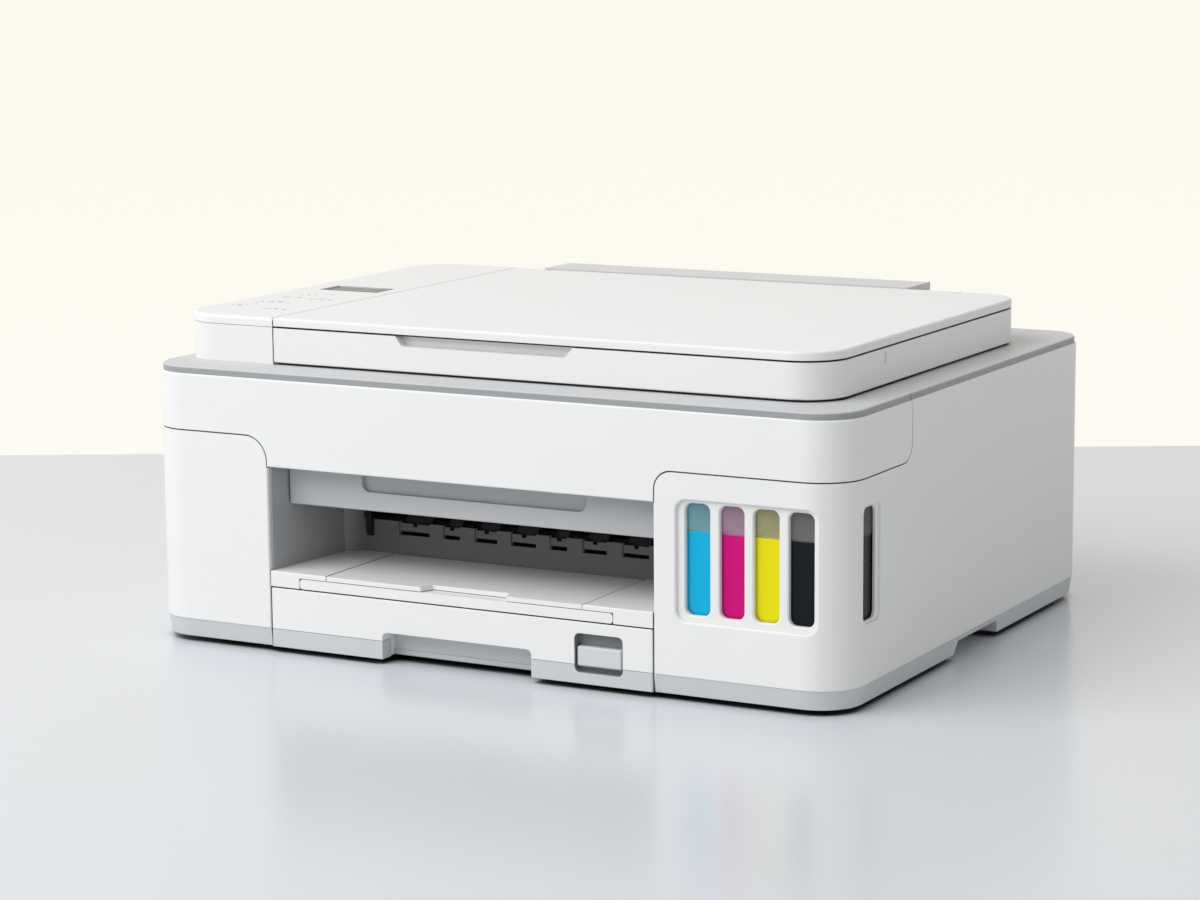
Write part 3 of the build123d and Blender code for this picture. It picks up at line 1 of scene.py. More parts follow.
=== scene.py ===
# %% [markdown]
# ## A flatbed multifunction printer in satin white and grey plastic
#
# The machine is already built to size. What is left is how it looks: the moulded plastic, the inks behind
# their windows, the steel and rubber inside, and plain studio light. Everything is in metres and every
# piece goes straight to its place in the machine's own frame.

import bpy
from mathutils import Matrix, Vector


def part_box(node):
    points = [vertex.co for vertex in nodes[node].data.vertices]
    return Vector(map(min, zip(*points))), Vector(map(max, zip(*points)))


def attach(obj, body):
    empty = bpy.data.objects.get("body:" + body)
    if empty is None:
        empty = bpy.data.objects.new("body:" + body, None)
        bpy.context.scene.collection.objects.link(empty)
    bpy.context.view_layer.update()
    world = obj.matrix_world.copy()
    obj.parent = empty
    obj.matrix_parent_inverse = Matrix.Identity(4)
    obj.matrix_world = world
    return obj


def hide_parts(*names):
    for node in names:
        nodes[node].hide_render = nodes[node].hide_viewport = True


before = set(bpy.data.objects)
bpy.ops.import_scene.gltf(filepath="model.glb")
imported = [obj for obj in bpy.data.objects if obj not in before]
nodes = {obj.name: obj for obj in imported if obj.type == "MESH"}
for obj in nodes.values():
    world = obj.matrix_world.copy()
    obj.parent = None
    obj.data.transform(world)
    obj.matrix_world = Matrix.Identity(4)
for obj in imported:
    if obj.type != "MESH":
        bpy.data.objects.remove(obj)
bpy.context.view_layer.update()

# %% Modules and starting objects
import math

import bmesh
import bpy
from mathutils import Matrix, Vector

for starter in ("Cube", "Camera", "Light"):
    if starter in bpy.data.objects:
        bpy.data.objects.remove(bpy.data.objects[starter])
scene = bpy.context.scene
scene.view_settings.view_transform = "Standard"
MM = 0.001
print("view transform", scene.view_settings.view_transform)

# %% [markdown]
# ### The camera
#
# The portrait is taken from the front right, a little above the lid, with a long lens, so that the
# upright edges stay nearly parallel. Turning an object by hand until it looks right would work too. Here
# the camera is placed by the angles that a photographer would note: how far round, how far above, and the
# small tilt of the tripod head.

# %% Camera
AZIMUTH = math.radians(28.52)
ELEVATION = math.radians(9.67)
TILT = math.radians(-0.45)
DISTANCE = 1.8268
SIDE_SHIFT = -0.01627
UP_SHIFT = 0.01352
TARGET = Vector((0, 0, 0.08))
SENSOR = 36.0
FOCAL_IN_PIXELS = 3260.8
PICTURE_WIDTH = 1200

back = Vector((
    math.sin(AZIMUTH) * math.cos(ELEVATION),
    -math.cos(AZIMUTH) * math.cos(ELEVATION),
    math.sin(ELEVATION),
))
level_right = Vector((math.cos(AZIMUTH), math.sin(AZIMUTH), 0))
level_up = back.cross(level_right)
right = math.cos(TILT) * level_right + math.sin(TILT) * level_up
up = math.cos(TILT) * level_up - math.sin(TILT) * level_right

camera_data = bpy.data.cameras.new("camera")
camera_data.sensor_width = SENSOR
camera_data.lens = FOCAL_IN_PIXELS / PICTURE_WIDTH * SENSOR
camera_data.clip_start = 0.05
camera = bpy.data.objects.new("camera", camera_data)
scene.collection.objects.link(camera)
camera.matrix_world = Matrix((right, up, back)).transposed().to_4x4()
camera.location = TARGET + back * DISTANCE + level_right * SIDE_SHIFT + level_up * UP_SHIFT
scene.camera = camera
print("lens in mm", round(camera_data.lens, 1))

# %% [markdown]
# ### Small helpers for shaders
#
# Every finish below is a node graph. These helpers keep the graphs short: they make a material with its
# Principled shader, add a node, carry a value from one range to another, and turn the object's own
# coordinates into noise. Object coordinates are used because the pieces have no unwrapped skin, and
# because the pattern then stays on a piece when it moves.

# %% Shader helpers
def new_finish(name):
    """A material with its node tree and its Principled shader."""
    material = bpy.data.materials.new(name)
    material.use_nodes = True
    return material, material.node_tree, material.node_tree.nodes["Principled BSDF"]


def add(tree, kind, **values):
    """A node of a kind, with its properties set."""
    node = tree.nodes.new(kind)
    for key, value in values.items():
        setattr(node, key, value)
    return node


def place(tree):
    """The object's own coordinates, in metres."""
    return add(tree, "ShaderNodeTexCoord").outputs["Object"]


def noise(tree, scale, detail=2.0, stretch=None):
    """Soft noise at a scale per metre, drawn out along an axis if stretch says so."""
    texture = add(tree, "ShaderNodeTexNoise")
    texture.inputs["Scale"].default_value = scale
    texture.inputs["Detail"].default_value = detail
    source = place(tree)
    if stretch:
        mapping = add(tree, "ShaderNodeMapping")
        mapping.inputs["Scale"].default_value = stretch
        tree.links.new(source, mapping.inputs["Vector"])
        source = mapping.outputs["Vector"]
    tree.links.new(source, texture.inputs["Vector"])
    return texture.outputs["Fac"]


def carry(tree, value, start, end, low=0.0, high=1.0):
    """A value between start and end, carried over to between low and high."""
    node = add(tree, "ShaderNodeMapRange")
    for socket, number in (("From Min", start), ("From Max", end), ("To Min", low), ("To Max", high)):
        node.inputs[socket].default_value = number
    tree.links.new(value, node.inputs["Value"])
    return node.outputs["Result"]


def span(tree, value, low, high):
    """A 0 to 1 value spread over a range."""
    return carry(tree, value, 0, 1, low, high)


def axes(tree, vector):
    """The X, Y and Z of a vector, by name."""
    split = add(tree, "ShaderNodeSeparateXYZ")
    tree.links.new(vector, split.inputs["Vector"])
    return split.outputs


def openness(tree, reach, samples=6):
    """1 where nothing stands within reach, towards 0 in a gap or a corner."""
    node = add(tree, "ShaderNodeAmbientOcclusion", samples=samples)
    node.inputs["Distance"].default_value = reach
    return node.outputs["AO"]


def compare(tree, operation, value, limit):
    """1 where a value is past a limit, 0 elsewhere."""
    node = add(tree, "ShaderNodeMath", operation=operation)
    tree.links.new(value, node.inputs[0])
    node.inputs[1].default_value = limit
    return node.outputs["Value"]


def greater_of(tree, first, second):
    """The greater of two values."""
    node = add(tree, "ShaderNodeMath", operation="MAXIMUM")
    tree.links.new(first, node.inputs[0])
    tree.links.new(second, node.inputs[1])
    return node.outputs["Value"]


def blend_colors(tree, factor, first, second):
    """A mix of two colours, each a colour or another node's output."""
    node = add(tree, "ShaderNodeMix", data_type="RGBA")
    for socket, value in ((node.inputs["A"], first), (node.inputs["B"], second)):
        if isinstance(value, tuple):
            socket.default_value = (*value, 1)
        else:
            tree.links.new(value, socket)
    tree.links.new(factor, node.inputs["Factor"])
    return node.outputs["Result"]


def grain(tree, shader, height, depth, edge=0.0):
    """Surface grain from a height value, over edges softened by a radius."""
    bump = add(tree, "ShaderNodeBump")
    bump.inputs["Distance"].default_value = depth
    tree.links.new(height, bump.inputs["Height"])
    if edge:
        softened = add(tree, "ShaderNodeBevel", samples=4)
        softened.inputs["Radius"].default_value = edge
        tree.links.new(softened.outputs["Normal"], bump.inputs["Normal"])
    tree.links.new(bump.outputs["Normal"], shader.inputs["Normal"])


def shade(color, factor):
    """A colour made lighter or darker."""
    return tuple(min(1.0, c * factor) for c in color)


print("helpers ready")

# %% [markdown]
# ### Moulded plastic
#
# Most of the machine is injection moulded. The tool leaves a very fine spark texture, which spreads the
# highlights, and the gloss wanders a little where the melt cooled at different speeds. One function makes
# every plastic from a colour, a roughness and the depth of that texture. A flat colour would read as
# paper, so the tone drifts by about one per cent as well. The gaps between two mouldings are under a
# millimetre wide and shade falls in them, so wherever other plastic is closer than that the tone falls to
# a dark grey: painted shade. That draws the seams.

# %% Plastics
SEAM_REACH = 1.7 * MM
SEAM_OPENNESS = (0.12, 0.44)
# The dark grey of painted shade, in the seams and under the base.
PAINTED_SHADE_DARK = (0.03, 0.031, 0.033)
DRIFT_SCALE, GLOSS_SCALE, SPARK_SCALE = 14, 45, 3200
GLOSS_DRIFT = 0.05
PLASTIC_SPECULAR = 0.36
SPARK_DEPTH = 12e-6
POLISHED_DEPTH = 6e-6
EDGE_RADIUS = 0.35 * MM


def seam_shaded(tree, color):
    """The colour, darkened in gaps and seams by painted shade."""
    # Painted shade: the tone falls to a dark grey where other plastic stands within reach.
    unshaded = carry(tree, openness(tree, SEAM_REACH), *SEAM_OPENNESS)
    return blend_colors(tree, unshaded, PAINTED_SHADE_DARK, color)


def mould(tree, shader, tone, roughness, texture_depth=SPARK_DEPTH):
    """What all mouldings share: painted shade in the seams, gloss that wanders, spark texture and soft
    edges.
    """
    tree.links.new(seam_shaded(tree, tone), shader.inputs["Base Color"])
    gloss = span(tree, noise(tree, GLOSS_SCALE, 3), roughness - GLOSS_DRIFT, roughness + GLOSS_DRIFT)
    tree.links.new(gloss, shader.inputs["Roughness"])
    shader.inputs["Specular IOR Level"].default_value = PLASTIC_SPECULAR
    grain(tree, shader, noise(tree, SPARK_SCALE, 1), texture_depth, EDGE_RADIUS)


def plastic(name, color, roughness, texture_depth=SPARK_DEPTH):
    """Plastic of one colour, whose tone drifts slowly."""
    material, tree, shader = new_finish(name)
    drift = noise(tree, DRIFT_SCALE, 3)
    tone = blend_colors(tree, drift, shade(color, 0.985), shade(color, 1.012))
    mould(tree, shader, tone, roughness, texture_depth)
    return material


WHITE = plastic("white_moulding", (0.86, 0.863, 0.855), 0.46)
TOP_WHITE = plastic("top_white_moulding", (0.86, 0.868, 0.872), 0.46)
KEY_WHITE = plastic("key_moulding", (0.85, 0.858, 0.86), 0.38, POLISHED_DEPTH)
BAND_GREY = plastic("band_grey_moulding", (0.61, 0.625, 0.645), 0.44)
REAR_GREY = plastic("rear_grey_moulding", (0.66, 0.67, 0.68), 0.42)
FLAP_GREY = plastic("flap_grey_moulding", (0.54, 0.55, 0.56), 0.42)
PALE_GREY = plastic("pale_grey_moulding", (0.60, 0.61, 0.62), 0.42)
DARK = plastic("dark_moulding", (0.045, 0.047, 0.05), 0.4)
BLACK = plastic("black_moulding", (0.012, 0.012, 0.013), 0.36)
CAP_COLORS = {"cyan": (0.02, 0.30, 0.55), "magenta": (0.48, 0.015, 0.17), "yellow": (0.76, 0.58, 0.02)}
CAPS = {
    ink: plastic(f"cap_{ink}_moulding", color, 0.3, POLISHED_DEPTH) for ink, color in CAP_COLORS.items()
}
CAPS["black"] = BLACK
print("cap colours", list(CAPS))

# %% [markdown]
# ### Mouldings with painted shade
#
# The bay behind the output tray is pale at its side walls and painted dark at its back as painted shade,
# and the grey deck is paler on top than along its edge, whose face is painted darker as painted shade. Each
# is one moulding, so the tone follows a coordinate: it goes over within a few millimetres, where the wall
# turns.

# %% Plastics with painted shade
BAY_TURN = (-0.106, -0.100)
DECK_TURN = (0.1505, 0.1513)


def shade_painted_plastic(name, axis, turn, near, far):
    """Plastic whose tone goes over from near to far along an axis, between two places, as painted shade."""
    material, tree, shader = new_finish(name)
    reach = carry(tree, axes(tree, place(tree))[axis], *turn)
    mould(tree, shader, blend_colors(tree, reach, near, far), 0.45)
    return material


# Painted shade: the bay's back wall is darker than its side walls, and the deck's edge face darker than its
# top.
BAY_GREY = shade_painted_plastic("bay_grey_moulding", "Y", BAY_TURN, (0.42, 0.43, 0.445), (0.19, 0.195, 0.21))
DECK_GREY = shade_painted_plastic("deck_grey_moulding", "Z", DECK_TURN, (0.34, 0.35, 0.365), (0.60, 0.61, 0.625))
print("deck edge turns within mm", round((DECK_TURN[1] - DECK_TURN[0]) / MM, 1))

# %% [markdown]
# ### Rubber, steel and laminates
#
# Rubber is nearly black and dull, with a bloom of dust that lightens it in patches. Pressed steel has a
# drawn grain along the strip: noise stretched hard along one axis, used for both roughness and bump. A
# circuit board is green lacquer over copper tracks, and the tracks come from a brick pattern.

# %% Rubber and metal
BLOOM_SCALE, PORE_SCALE = 90, 1800
BLOOM_LIGHTER = 1.9
PORE_DEPTH = 20e-6
RUBBER_EDGE = 0.3 * MM
LINE_DEPTH = 6e-6
METAL_EDGE = 0.15 * MM


def rubber(name, color):
    """Matt rubber with a bloom of dust."""
    material, tree, shader = new_finish(name)
    bloom = noise(tree, BLOOM_SCALE, 4)
    tone = blend_colors(tree, bloom, color, shade(color, BLOOM_LIGHTER))
    tree.links.new(tone, shader.inputs["Base Color"])
    tree.links.new(span(tree, bloom, 0.68, 0.88), shader.inputs["Roughness"])
    grain(tree, shader, noise(tree, PORE_SCALE, 2), PORE_DEPTH, RUBBER_EDGE)
    return material


def drawn_metal(name, color, roughness, stretch=(20, 900, 900)):
    """Metal with a grain drawn along X."""
    material, tree, shader = new_finish(name)
    lines = noise(tree, 1, 3, stretch)
    tree.links.new(blend_colors(tree, lines, shade(color, 0.9), color), shader.inputs["Base Color"])
    tree.links.new(span(tree, lines, roughness - 0.08, roughness + 0.1), shader.inputs["Roughness"])
    shader.inputs["Metallic"].default_value = 1
    grain(tree, shader, lines, LINE_DEPTH, METAL_EDGE)
    return material


RUBBER = rubber("rubber", (0.018, 0.018, 0.019))
ROLL_RUBBER = rubber("roll_rubber", (0.035, 0.035, 0.037))
STEEL = drawn_metal("drawn_steel", (0.56, 0.57, 0.58), 0.34)
ZINC = drawn_metal("zinc_plate", (0.50, 0.51, 0.53), 0.58, (60, 240, 240))
print("rubber bloom per metre", BLOOM_SCALE)

# %% Circuit board
TRACK_SCALE = 160
TRACK_WIDTH = 0.012
TRACK_HEIGHT = 30e-6
LACQUER = ((0.005, 0.07, 0.03), (0.006, 0.09, 0.035))
COPPER = (0.04, 0.22, 0.09)


def grid(tree, scale, line_width, cells, line, offset=0.5):
    """Cells in two near tones with lines between them."""
    bricks = add(tree, "ShaderNodeTexBrick", offset=offset)
    bricks.inputs["Scale"].default_value = scale
    bricks.inputs["Mortar Size"].default_value = line_width
    for socket, color in (("Color1", cells[0]), ("Color2", cells[1]), ("Mortar", line)):
        bricks.inputs[socket].default_value = (*color, 1)
    tree.links.new(place(tree), bricks.inputs["Vector"])
    return bricks.outputs


def board_finish():
    """Green lacquer with copper tracks showing through."""
    material, tree, shader = new_finish("board_lacquer")
    tracks = grid(tree, TRACK_SCALE, TRACK_WIDTH, LACQUER, COPPER)
    tree.links.new(tracks["Color"], shader.inputs["Base Color"])
    tree.links.new(span(tree, noise(tree, 60), 0.22, 0.4), shader.inputs["Roughness"])
    grain(tree, shader, tracks["Fac"], TRACK_HEIGHT)
    return material


BOARD = board_finish()
print("tracks per metre", TRACK_SCALE)

# %% [markdown]
# ### Glass and display
#
# The platen glass is clear with a faint green cast and almost no roughness, apart from a trace of dust
# that dulls it in patches. The display is a grey liquid crystal, switched off, so it is a dark grey with a
# fine pixel grid under a satin surface.

# %% Glass and display
GLASS_COLOR = (0.86, 0.93, 0.90, 1)
GLASS_CLEAR = 0.92
GLASS_IOR = 1.5
PIXEL_SCALE = 900
PIXEL_GAP = 0.03
PIXEL_TONES = ((0.125, 0.13, 0.14), (0.13, 0.135, 0.145))
PIXEL_GAP_TONE = (0.10, 0.105, 0.115)
DISPLAY_SPECULAR = 0.2


def glass_finish():
    """Float glass with a trace of dust."""
    material, tree, shader = new_finish("float_glass")
    shader.inputs["Base Color"].default_value = GLASS_COLOR
    shader.inputs["Transmission Weight"].default_value = GLASS_CLEAR
    shader.inputs["IOR"].default_value = GLASS_IOR
    tree.links.new(span(tree, noise(tree, 30, 4), 0.01, 0.07), shader.inputs["Roughness"])
    return material


def display_finish():
    """A grey liquid crystal, off, with its pixel grid."""
    material, tree, shader = new_finish("display_grey")
    pixels = grid(tree, PIXEL_SCALE, PIXEL_GAP, PIXEL_TONES, PIXEL_GAP_TONE, offset=0.0)
    tree.links.new(pixels["Color"], shader.inputs["Base Color"])
    tree.links.new(span(tree, noise(tree, 50), 0.24, 0.32), shader.inputs["Roughness"])
    shader.inputs["Specular IOR Level"].default_value = DISPLAY_SPECULAR
    return material


GLASS = glass_finish()
DISPLAY = display_finish()
print("pixels per metre", PIXEL_SCALE)

# %% [markdown]
# ### Tank walls and inks
#
# The four tanks stand side by side in clear plastic, and each wall takes on the colour of the ink that wets
# it. Above the level only a film is left, so at the windows the wall turns to a pale tint that one can see
# through, and away from them it looks milky. Real refraction through two thin walls is slow and noisy, so
# the wall is a tinted shell whose cover changes with height and place. Which tank a point is on follows
# from how far right it lies.

# %% Inks and tank walls
INK_LEVEL = 86.5 * MM
INKS = {
    "cyan": (0.006, 0.46, 0.78),
    "magenta": (0.66, 0.004, 0.21),
    "yellow": (0.86, 0.79, 0.006),
    "black": (0.008, 0.011, 0.014),
}
FILMS = {
    "cyan": (0.42, 0.80, 0.88),
    "magenta": (0.82, 0.58, 0.76),
    "yellow": (0.80, 0.78, 0.44),
    "black": (0.40, 0.40, 0.38),
}
FILM_COVER = (0.20, 0.26)
FILM_TOP = 108 * MM
WET_COVER = 0.96
MILKY_COVER = 0.93
CLEAR_FRONT = -161.9 * MM
CLEAR_SIDE = 203.4 * MM
RIM_SHADE_REACH = 3 * MM
RIM_SHADE = (-0.2, 1.3)
TANK_SPECULAR = 0.12
TANK_EDGES = (0.136, 0.155, 0.1743)


def by_tank(tree, across, colors):
    """The colour of the tank that a point lies on."""
    found = colors["cyan"]
    for edge, ink in zip(TANK_EDGES, ("magenta", "yellow", "black")):
        found = blend_colors(tree, compare(tree, "GREATER_THAN", across, edge), found, colors[ink])
    return found


def wall_cover(tree, spot, wet):
    """How much the wall hides: all where ink wets it, little at a dry window, most elsewhere."""
    front = compare(tree, "LESS_THAN", spot["Y"], CLEAR_FRONT)
    side = compare(tree, "GREATER_THAN", spot["X"], CLEAR_SIDE)
    film_cover = carry(tree, spot["Z"], FILM_TOP, INK_LEVEL, *FILM_COVER)
    dry = add(tree, "ShaderNodeMix")
    dry.inputs["A"].default_value = MILKY_COVER
    tree.links.new(greater_of(tree, front, side), dry.inputs["Factor"])
    tree.links.new(film_cover, dry.inputs["B"])
    return greater_of(tree, dry.outputs["Result"], span(tree, wet, 0, WET_COVER))


def tank_finish():
    """Plastic that is clear at the windows and milky elsewhere, wetted by ink up to its level."""
    material, tree, shader = new_finish("tank_clear")
    spot = axes(tree, place(tree))
    wet = carry(tree, spot["Z"], INK_LEVEL + 0.5 * MM, INK_LEVEL - 0.1 * MM)
    film = by_tank(tree, spot["X"], FILMS)
    ink = by_tank(tree, spot["X"], INKS)
    # Painted shade: the ink darkens towards black near the window rims.
    rim = span(tree, openness(tree, RIM_SHADE_REACH), *RIM_SHADE)
    shaded = blend_colors(tree, rim, (0, 0, 0), ink)
    tree.links.new(blend_colors(tree, wet, film, shaded), shader.inputs["Base Color"])
    tree.links.new(wall_cover(tree, spot, wet), shader.inputs["Alpha"])
    tree.links.new(span(tree, noise(tree, 40), 0.1, 0.2), shader.inputs["Roughness"])
    shader.inputs["Specular IOR Level"].default_value = TANK_SPECULAR
    return material


# Painted reflection: how far the ink's level top is paled towards its film colour.
TOP_SHINE = 0.35
TOP_SLOPE = 0.7


def ink_finish(name, color, film):
    """Still, glossy ink with a slow swirl of pigment, its level top painted paler as a painted reflection.
    """
    material, tree, shader = new_finish(name)
    swirl = noise(tree, 25, 3)
    deep = blend_colors(tree, swirl, color, shade(color, 1.12))
    facing = axes(tree, add(tree, "ShaderNodeNewGeometry").outputs["Normal"])
    top_painted_reflection = span(tree, compare(tree, "GREATER_THAN", facing["Z"], TOP_SLOPE), 0, TOP_SHINE)
    tree.links.new(blend_colors(tree, top_painted_reflection, deep, shade(film, 1.15)), shader.inputs["Base Color"])
    tree.links.new(span(tree, swirl, 0.04, 0.12), shader.inputs["Roughness"])
    return material


TANK_WALL = tank_finish()
INK_FINISHES = {ink: ink_finish(f"ink_{ink}_liquid", INKS[ink], FILMS[ink]) for ink in INKS}
print("inks", list(INK_FINISHES))

# %% [markdown]
# ### Ink tubes
#
# Soft tubes carry the ink towards the carriage. Their walls are cloudy and the ink inside is uneven, with
# air between its columns. A see-through wall over a core would take two meshes, and one tone that wanders
# between dark and pale grey says the same at this size.

# %% Tubes
TUBE_DARK = (0.10, 0.10, 0.11)
TUBE_PALE = (0.26, 0.27, 0.28)


def tube_finish():
    """Soft cloudy tube with dark ink in it."""
    material, tree, shader = new_finish("soft_tube")
    columns = noise(tree, 70, 2)
    tree.links.new(blend_colors(tree, columns, TUBE_DARK, TUBE_PALE), shader.inputs["Base Color"])
    tree.links.new(span(tree, columns, 0.18, 0.3), shader.inputs["Roughness"])
    return material


TUBE = tube_finish()
print("tube tones", TUBE_DARK, TUBE_PALE)

# %% [markdown]
# ### Which piece has which finish
#
# The list follows how such a machine is made: white for what the hand meets, grey where the body is split
# by bands, black for the works, and bare steel for frames and shafts.

# %% Give every piece its finish
FINISH_OF = {
    "main_shell front_cover panel_shell scanner_shell": WHITE,
    "drawer_front output_tray sliding_tray tray_extension": WHITE,
    "panel_top document_lid": TOP_WHITE,
    "key_power key_stop key_start key_menu key_ok": KEY_WHITE,
    "top_deck": DECK_GREY,
    "base_pan drawer_band": BAND_GREY,
    "rear_cover latch_button": REAR_GREY,
    "output_cover": FLAP_GREY,
    "scanner_bezel rear_housing rear_guide_left rear_guide_right": PALE_GREY,
    "drawer paper_guide_left paper_guide_right end_guide guide_pinion": PALE_GREY,
    "bay_liner": BAY_GREY,
    "carriage": DARK,
    "exit_roof platen capping_unit idler_gear idler_pulley print_heads scan_bar rear_sockets": BLACK,
    "feet timing_belt": RUBBER,
    "exit_roller pickup_roller": ROLL_RUBBER,
    "side_frames power_supply": ZINC,
    "feed_roller star_wheels carriage_motor motor_pulley": STEEL,
    "circuit_boards": BOARD,
    "scanner_glass": GLASS,
    "display_window": DISPLAY,
    "ink_tanks": TANK_WALL,
    "ink_tubes": TUBE,
}


def dress(piece, finish):
    """Give a machine piece its finish in its own material slot."""
    piece.material_slots[0].link = "OBJECT"
    piece.material_slots[0].material = finish


dressed = set()
for names, finish in FINISH_OF.items():
    for name in names.split():
        dress(nodes[name], finish)
        dressed.add(name)
for ink, finish in CAPS.items():
    dress(nodes[f"cap_{ink}"], finish)
    dressed.add(f"cap_{ink}")
print("still to make", sorted(set(nodes) - dressed))

# %% [markdown]
# ### Shapes from stacked outlines
#
# Inks, the pad and screws are all outlines stacked on each other: a ring of points at each height, joined
# to the next ring by a band of faces. Revolving a profile would only give round things, and a bevelled
# cube would not give the thin rim of ink that climbs the wall.

# %% Stacked outlines
SHARP_ANGLE = math.radians(40)


def plan(x0, x1, y0, y1, radii, steps=6):
    """Points round a rectangle, with four corner radii, from the front left one to the back left one."""
    corners = ((x0, y0, 1, 1, 180), (x1, y0, -1, 1, 270), (x1, y1, -1, -1, 0), (x0, y1, 1, -1, 90))
    points = []
    for (x, y, inward_x, inward_y, start), radius in zip(corners, radii):
        for step in range(steps + 1):
            angle = math.radians(start + 90 * step / steps)
            points.append((
                x + inward_x * radius + radius * math.cos(angle),
                y + inward_y * radius + radius * math.sin(angle),
            ))
    return points


def stack(name, rings, finish, body, hollow=False):
    """A closed mesh through rings of points. A hollow one joins its last ring to its first."""
    mesh = bmesh.new()
    made = [[mesh.verts.new(point) for point in ring] for ring in rings]
    if hollow:
        made.append(made[0])
    for low, high in zip(made, made[1:]):
        for i in range(len(low)):
            j = (i + 1) % len(low)
            mesh.faces.new((low[i], low[j], high[j], high[i]))
    if not hollow:
        mesh.faces.new(made[0][::-1])
        mesh.faces.new(made[-1])
    bmesh.ops.recalc_face_normals(mesh, faces=mesh.faces)
    data = bpy.data.meshes.new(name)
    mesh.to_mesh(data)
    mesh.free()
    data.materials.append(finish)
    data.shade_smooth()
    data.set_sharp_from_angle(angle=SHARP_ANGLE)
    piece = bpy.data.objects.new(name, data)
    scene.collection.objects.link(piece)
    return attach(piece, body)


print("stack ready")

# %% [markdown]
# ### Ink in the tanks
#
# All four tanks are filled to one level, which shows in their windows. Ink wets the plastic, so it climbs
# the wall by nearly half a millimetre: the last rings rise at the wall and fall back to the level.

# %% Inks
WALL_GAP = 0.25 * MM
CLIMB = 0.4 * MM
INK_FLOOR = 41.8 * MM
INK_FRONT, INK_BACK = -161.7 * MM, -86.8 * MM
HALF_TANK = 7 * MM
TANK_MIDDLES = {"cyan": 126.55 * MM, "magenta": 145.6 * MM, "yellow": 164.5 * MM}
INK_SIDES = {ink: (middle - HALF_TANK, middle + HALF_TANK) for ink, middle in TANK_MIDDLES.items()}
INK_SIDES["black"] = (176.5 * MM, 203.5 * MM)
TANK_CORNER = 0.6 * MM
BLACK_CORNER = 19.3 * MM
INK_PROFILE = (
    (1 * MM, INK_FLOOR), (0, INK_FLOOR + 1 * MM), (0, INK_LEVEL + CLIMB),
    (0.2 * MM, INK_LEVEL + 0.15 * MM), (1 * MM, INK_LEVEL),
)


def level(points, z):
    """Flat points put at a height."""
    return [(x, y, z) for x, y in points]


for ink, (x0, x1) in INK_SIDES.items():
    front_right = BLACK_CORNER if ink == "black" else TANK_CORNER
    rings = []
    for inset, z in INK_PROFILE:
        edge = WALL_GAP + inset
        radii = [TANK_CORNER, max(front_right - inset, 0.2 * MM), TANK_CORNER, TANK_CORNER]
        rings.append(level(plan(x0 + edge, x1 - edge, INK_FRONT + edge, INK_BACK - edge, radii), z))
    stack(f"ink_{ink}", rings, INK_FINISHES[ink], "root")
print("ink level in mm", round(INK_LEVEL / MM, 1))

# %% [markdown]
# ### The lid's foam pad
#
# Under the lid hangs a soft white pad that presses the sheet on the glass. It is foam under a smooth white
# film, a touch thicker in the middle, with its edge rolled over.

# %% Foam pad
CELL_SCALE = 1400
CELL_DEPTH = 30e-6
FOAM_TONES = ((0.80, 0.80, 0.79), (0.85, 0.85, 0.845))
FOAM_SHEEN = 0.1


def foam_finish():
    """Closed-cell foam under a smooth white film."""
    material, tree, shader = new_finish("foam_film")
    cells = add(tree, "ShaderNodeTexVoronoi")
    cells.inputs["Scale"].default_value = CELL_SCALE
    tree.links.new(place(tree), cells.inputs["Vector"])
    tree.links.new(blend_colors(tree, noise(tree, 20, 3), *FOAM_TONES), shader.inputs["Base Color"])
    tree.links.new(span(tree, noise(tree, 120), 0.5, 0.65), shader.inputs["Roughness"])
    shader.inputs["Sheen Weight"].default_value = FOAM_SHEEN
    grain(tree, shader, cells.outputs["Distance"], CELL_DEPTH)
    return material


PAD_PROFILE = ((3, 0.35), (1.4, 0.08), (0.3, 0.9), (0, 1.6), (0.3, 2.5), (1, 2.95))
PAD_CORNERS = [3 * MM] * 4
pad_low, pad_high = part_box("lid_pad")
pad_rings = []
for inset, rise in PAD_PROFILE:
    edge = inset * MM
    outline = plan(pad_low.x + edge, pad_high.x - edge, pad_low.y + edge, pad_high.y - edge, PAD_CORNERS)
    pad_rings.append(level(outline, pad_low.z + rise * MM))
pad = stack("foam_pad", pad_rings, foam_finish(), "lid")
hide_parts("lid_pad")
print("pad in mm", [round(1000 * s, 1) for s in pad_high - pad_low])

# %% [markdown]
# ### Black strips of painted shade round the scanner
#
# A black strip runs round the rim under the lid, and another under the whole scanner unit, as painted
# shade: from outside they are what makes the two gaps black. A profile swept along a curve would do. A band
# of four-cornered rings along a path gives the same strip with tidy ends, and it can stop short of the
# finger recess.

# %% Black strips of painted shade
# Painted shade: black strips set in the gaps so that the gaps read black.
SHADE_STRIP_BLACK = rubber("shade_strip_black", (0.006, 0.006, 0.006))


def ring_band(name, outer, inner, z0, z1, finish, body):
    """A flat ring between two outlines that have the same number of points."""
    rings = [level(outer, z0), level(outer, z1), level(inner, z1), level(inner, z0)]
    return stack(name, rings, finish, body, hollow=True)


def strip(name, outer, inner, z0, z1, finish, body):
    """A band along an open path, given by the two edges of the path."""
    rings = [
        [(*out_point, z0), (*out_point, z1), (*in_point, z1), (*in_point, z0)]
        for out_point, in_point in zip(outer, inner)
    ]
    return stack(name, rings, finish, body)


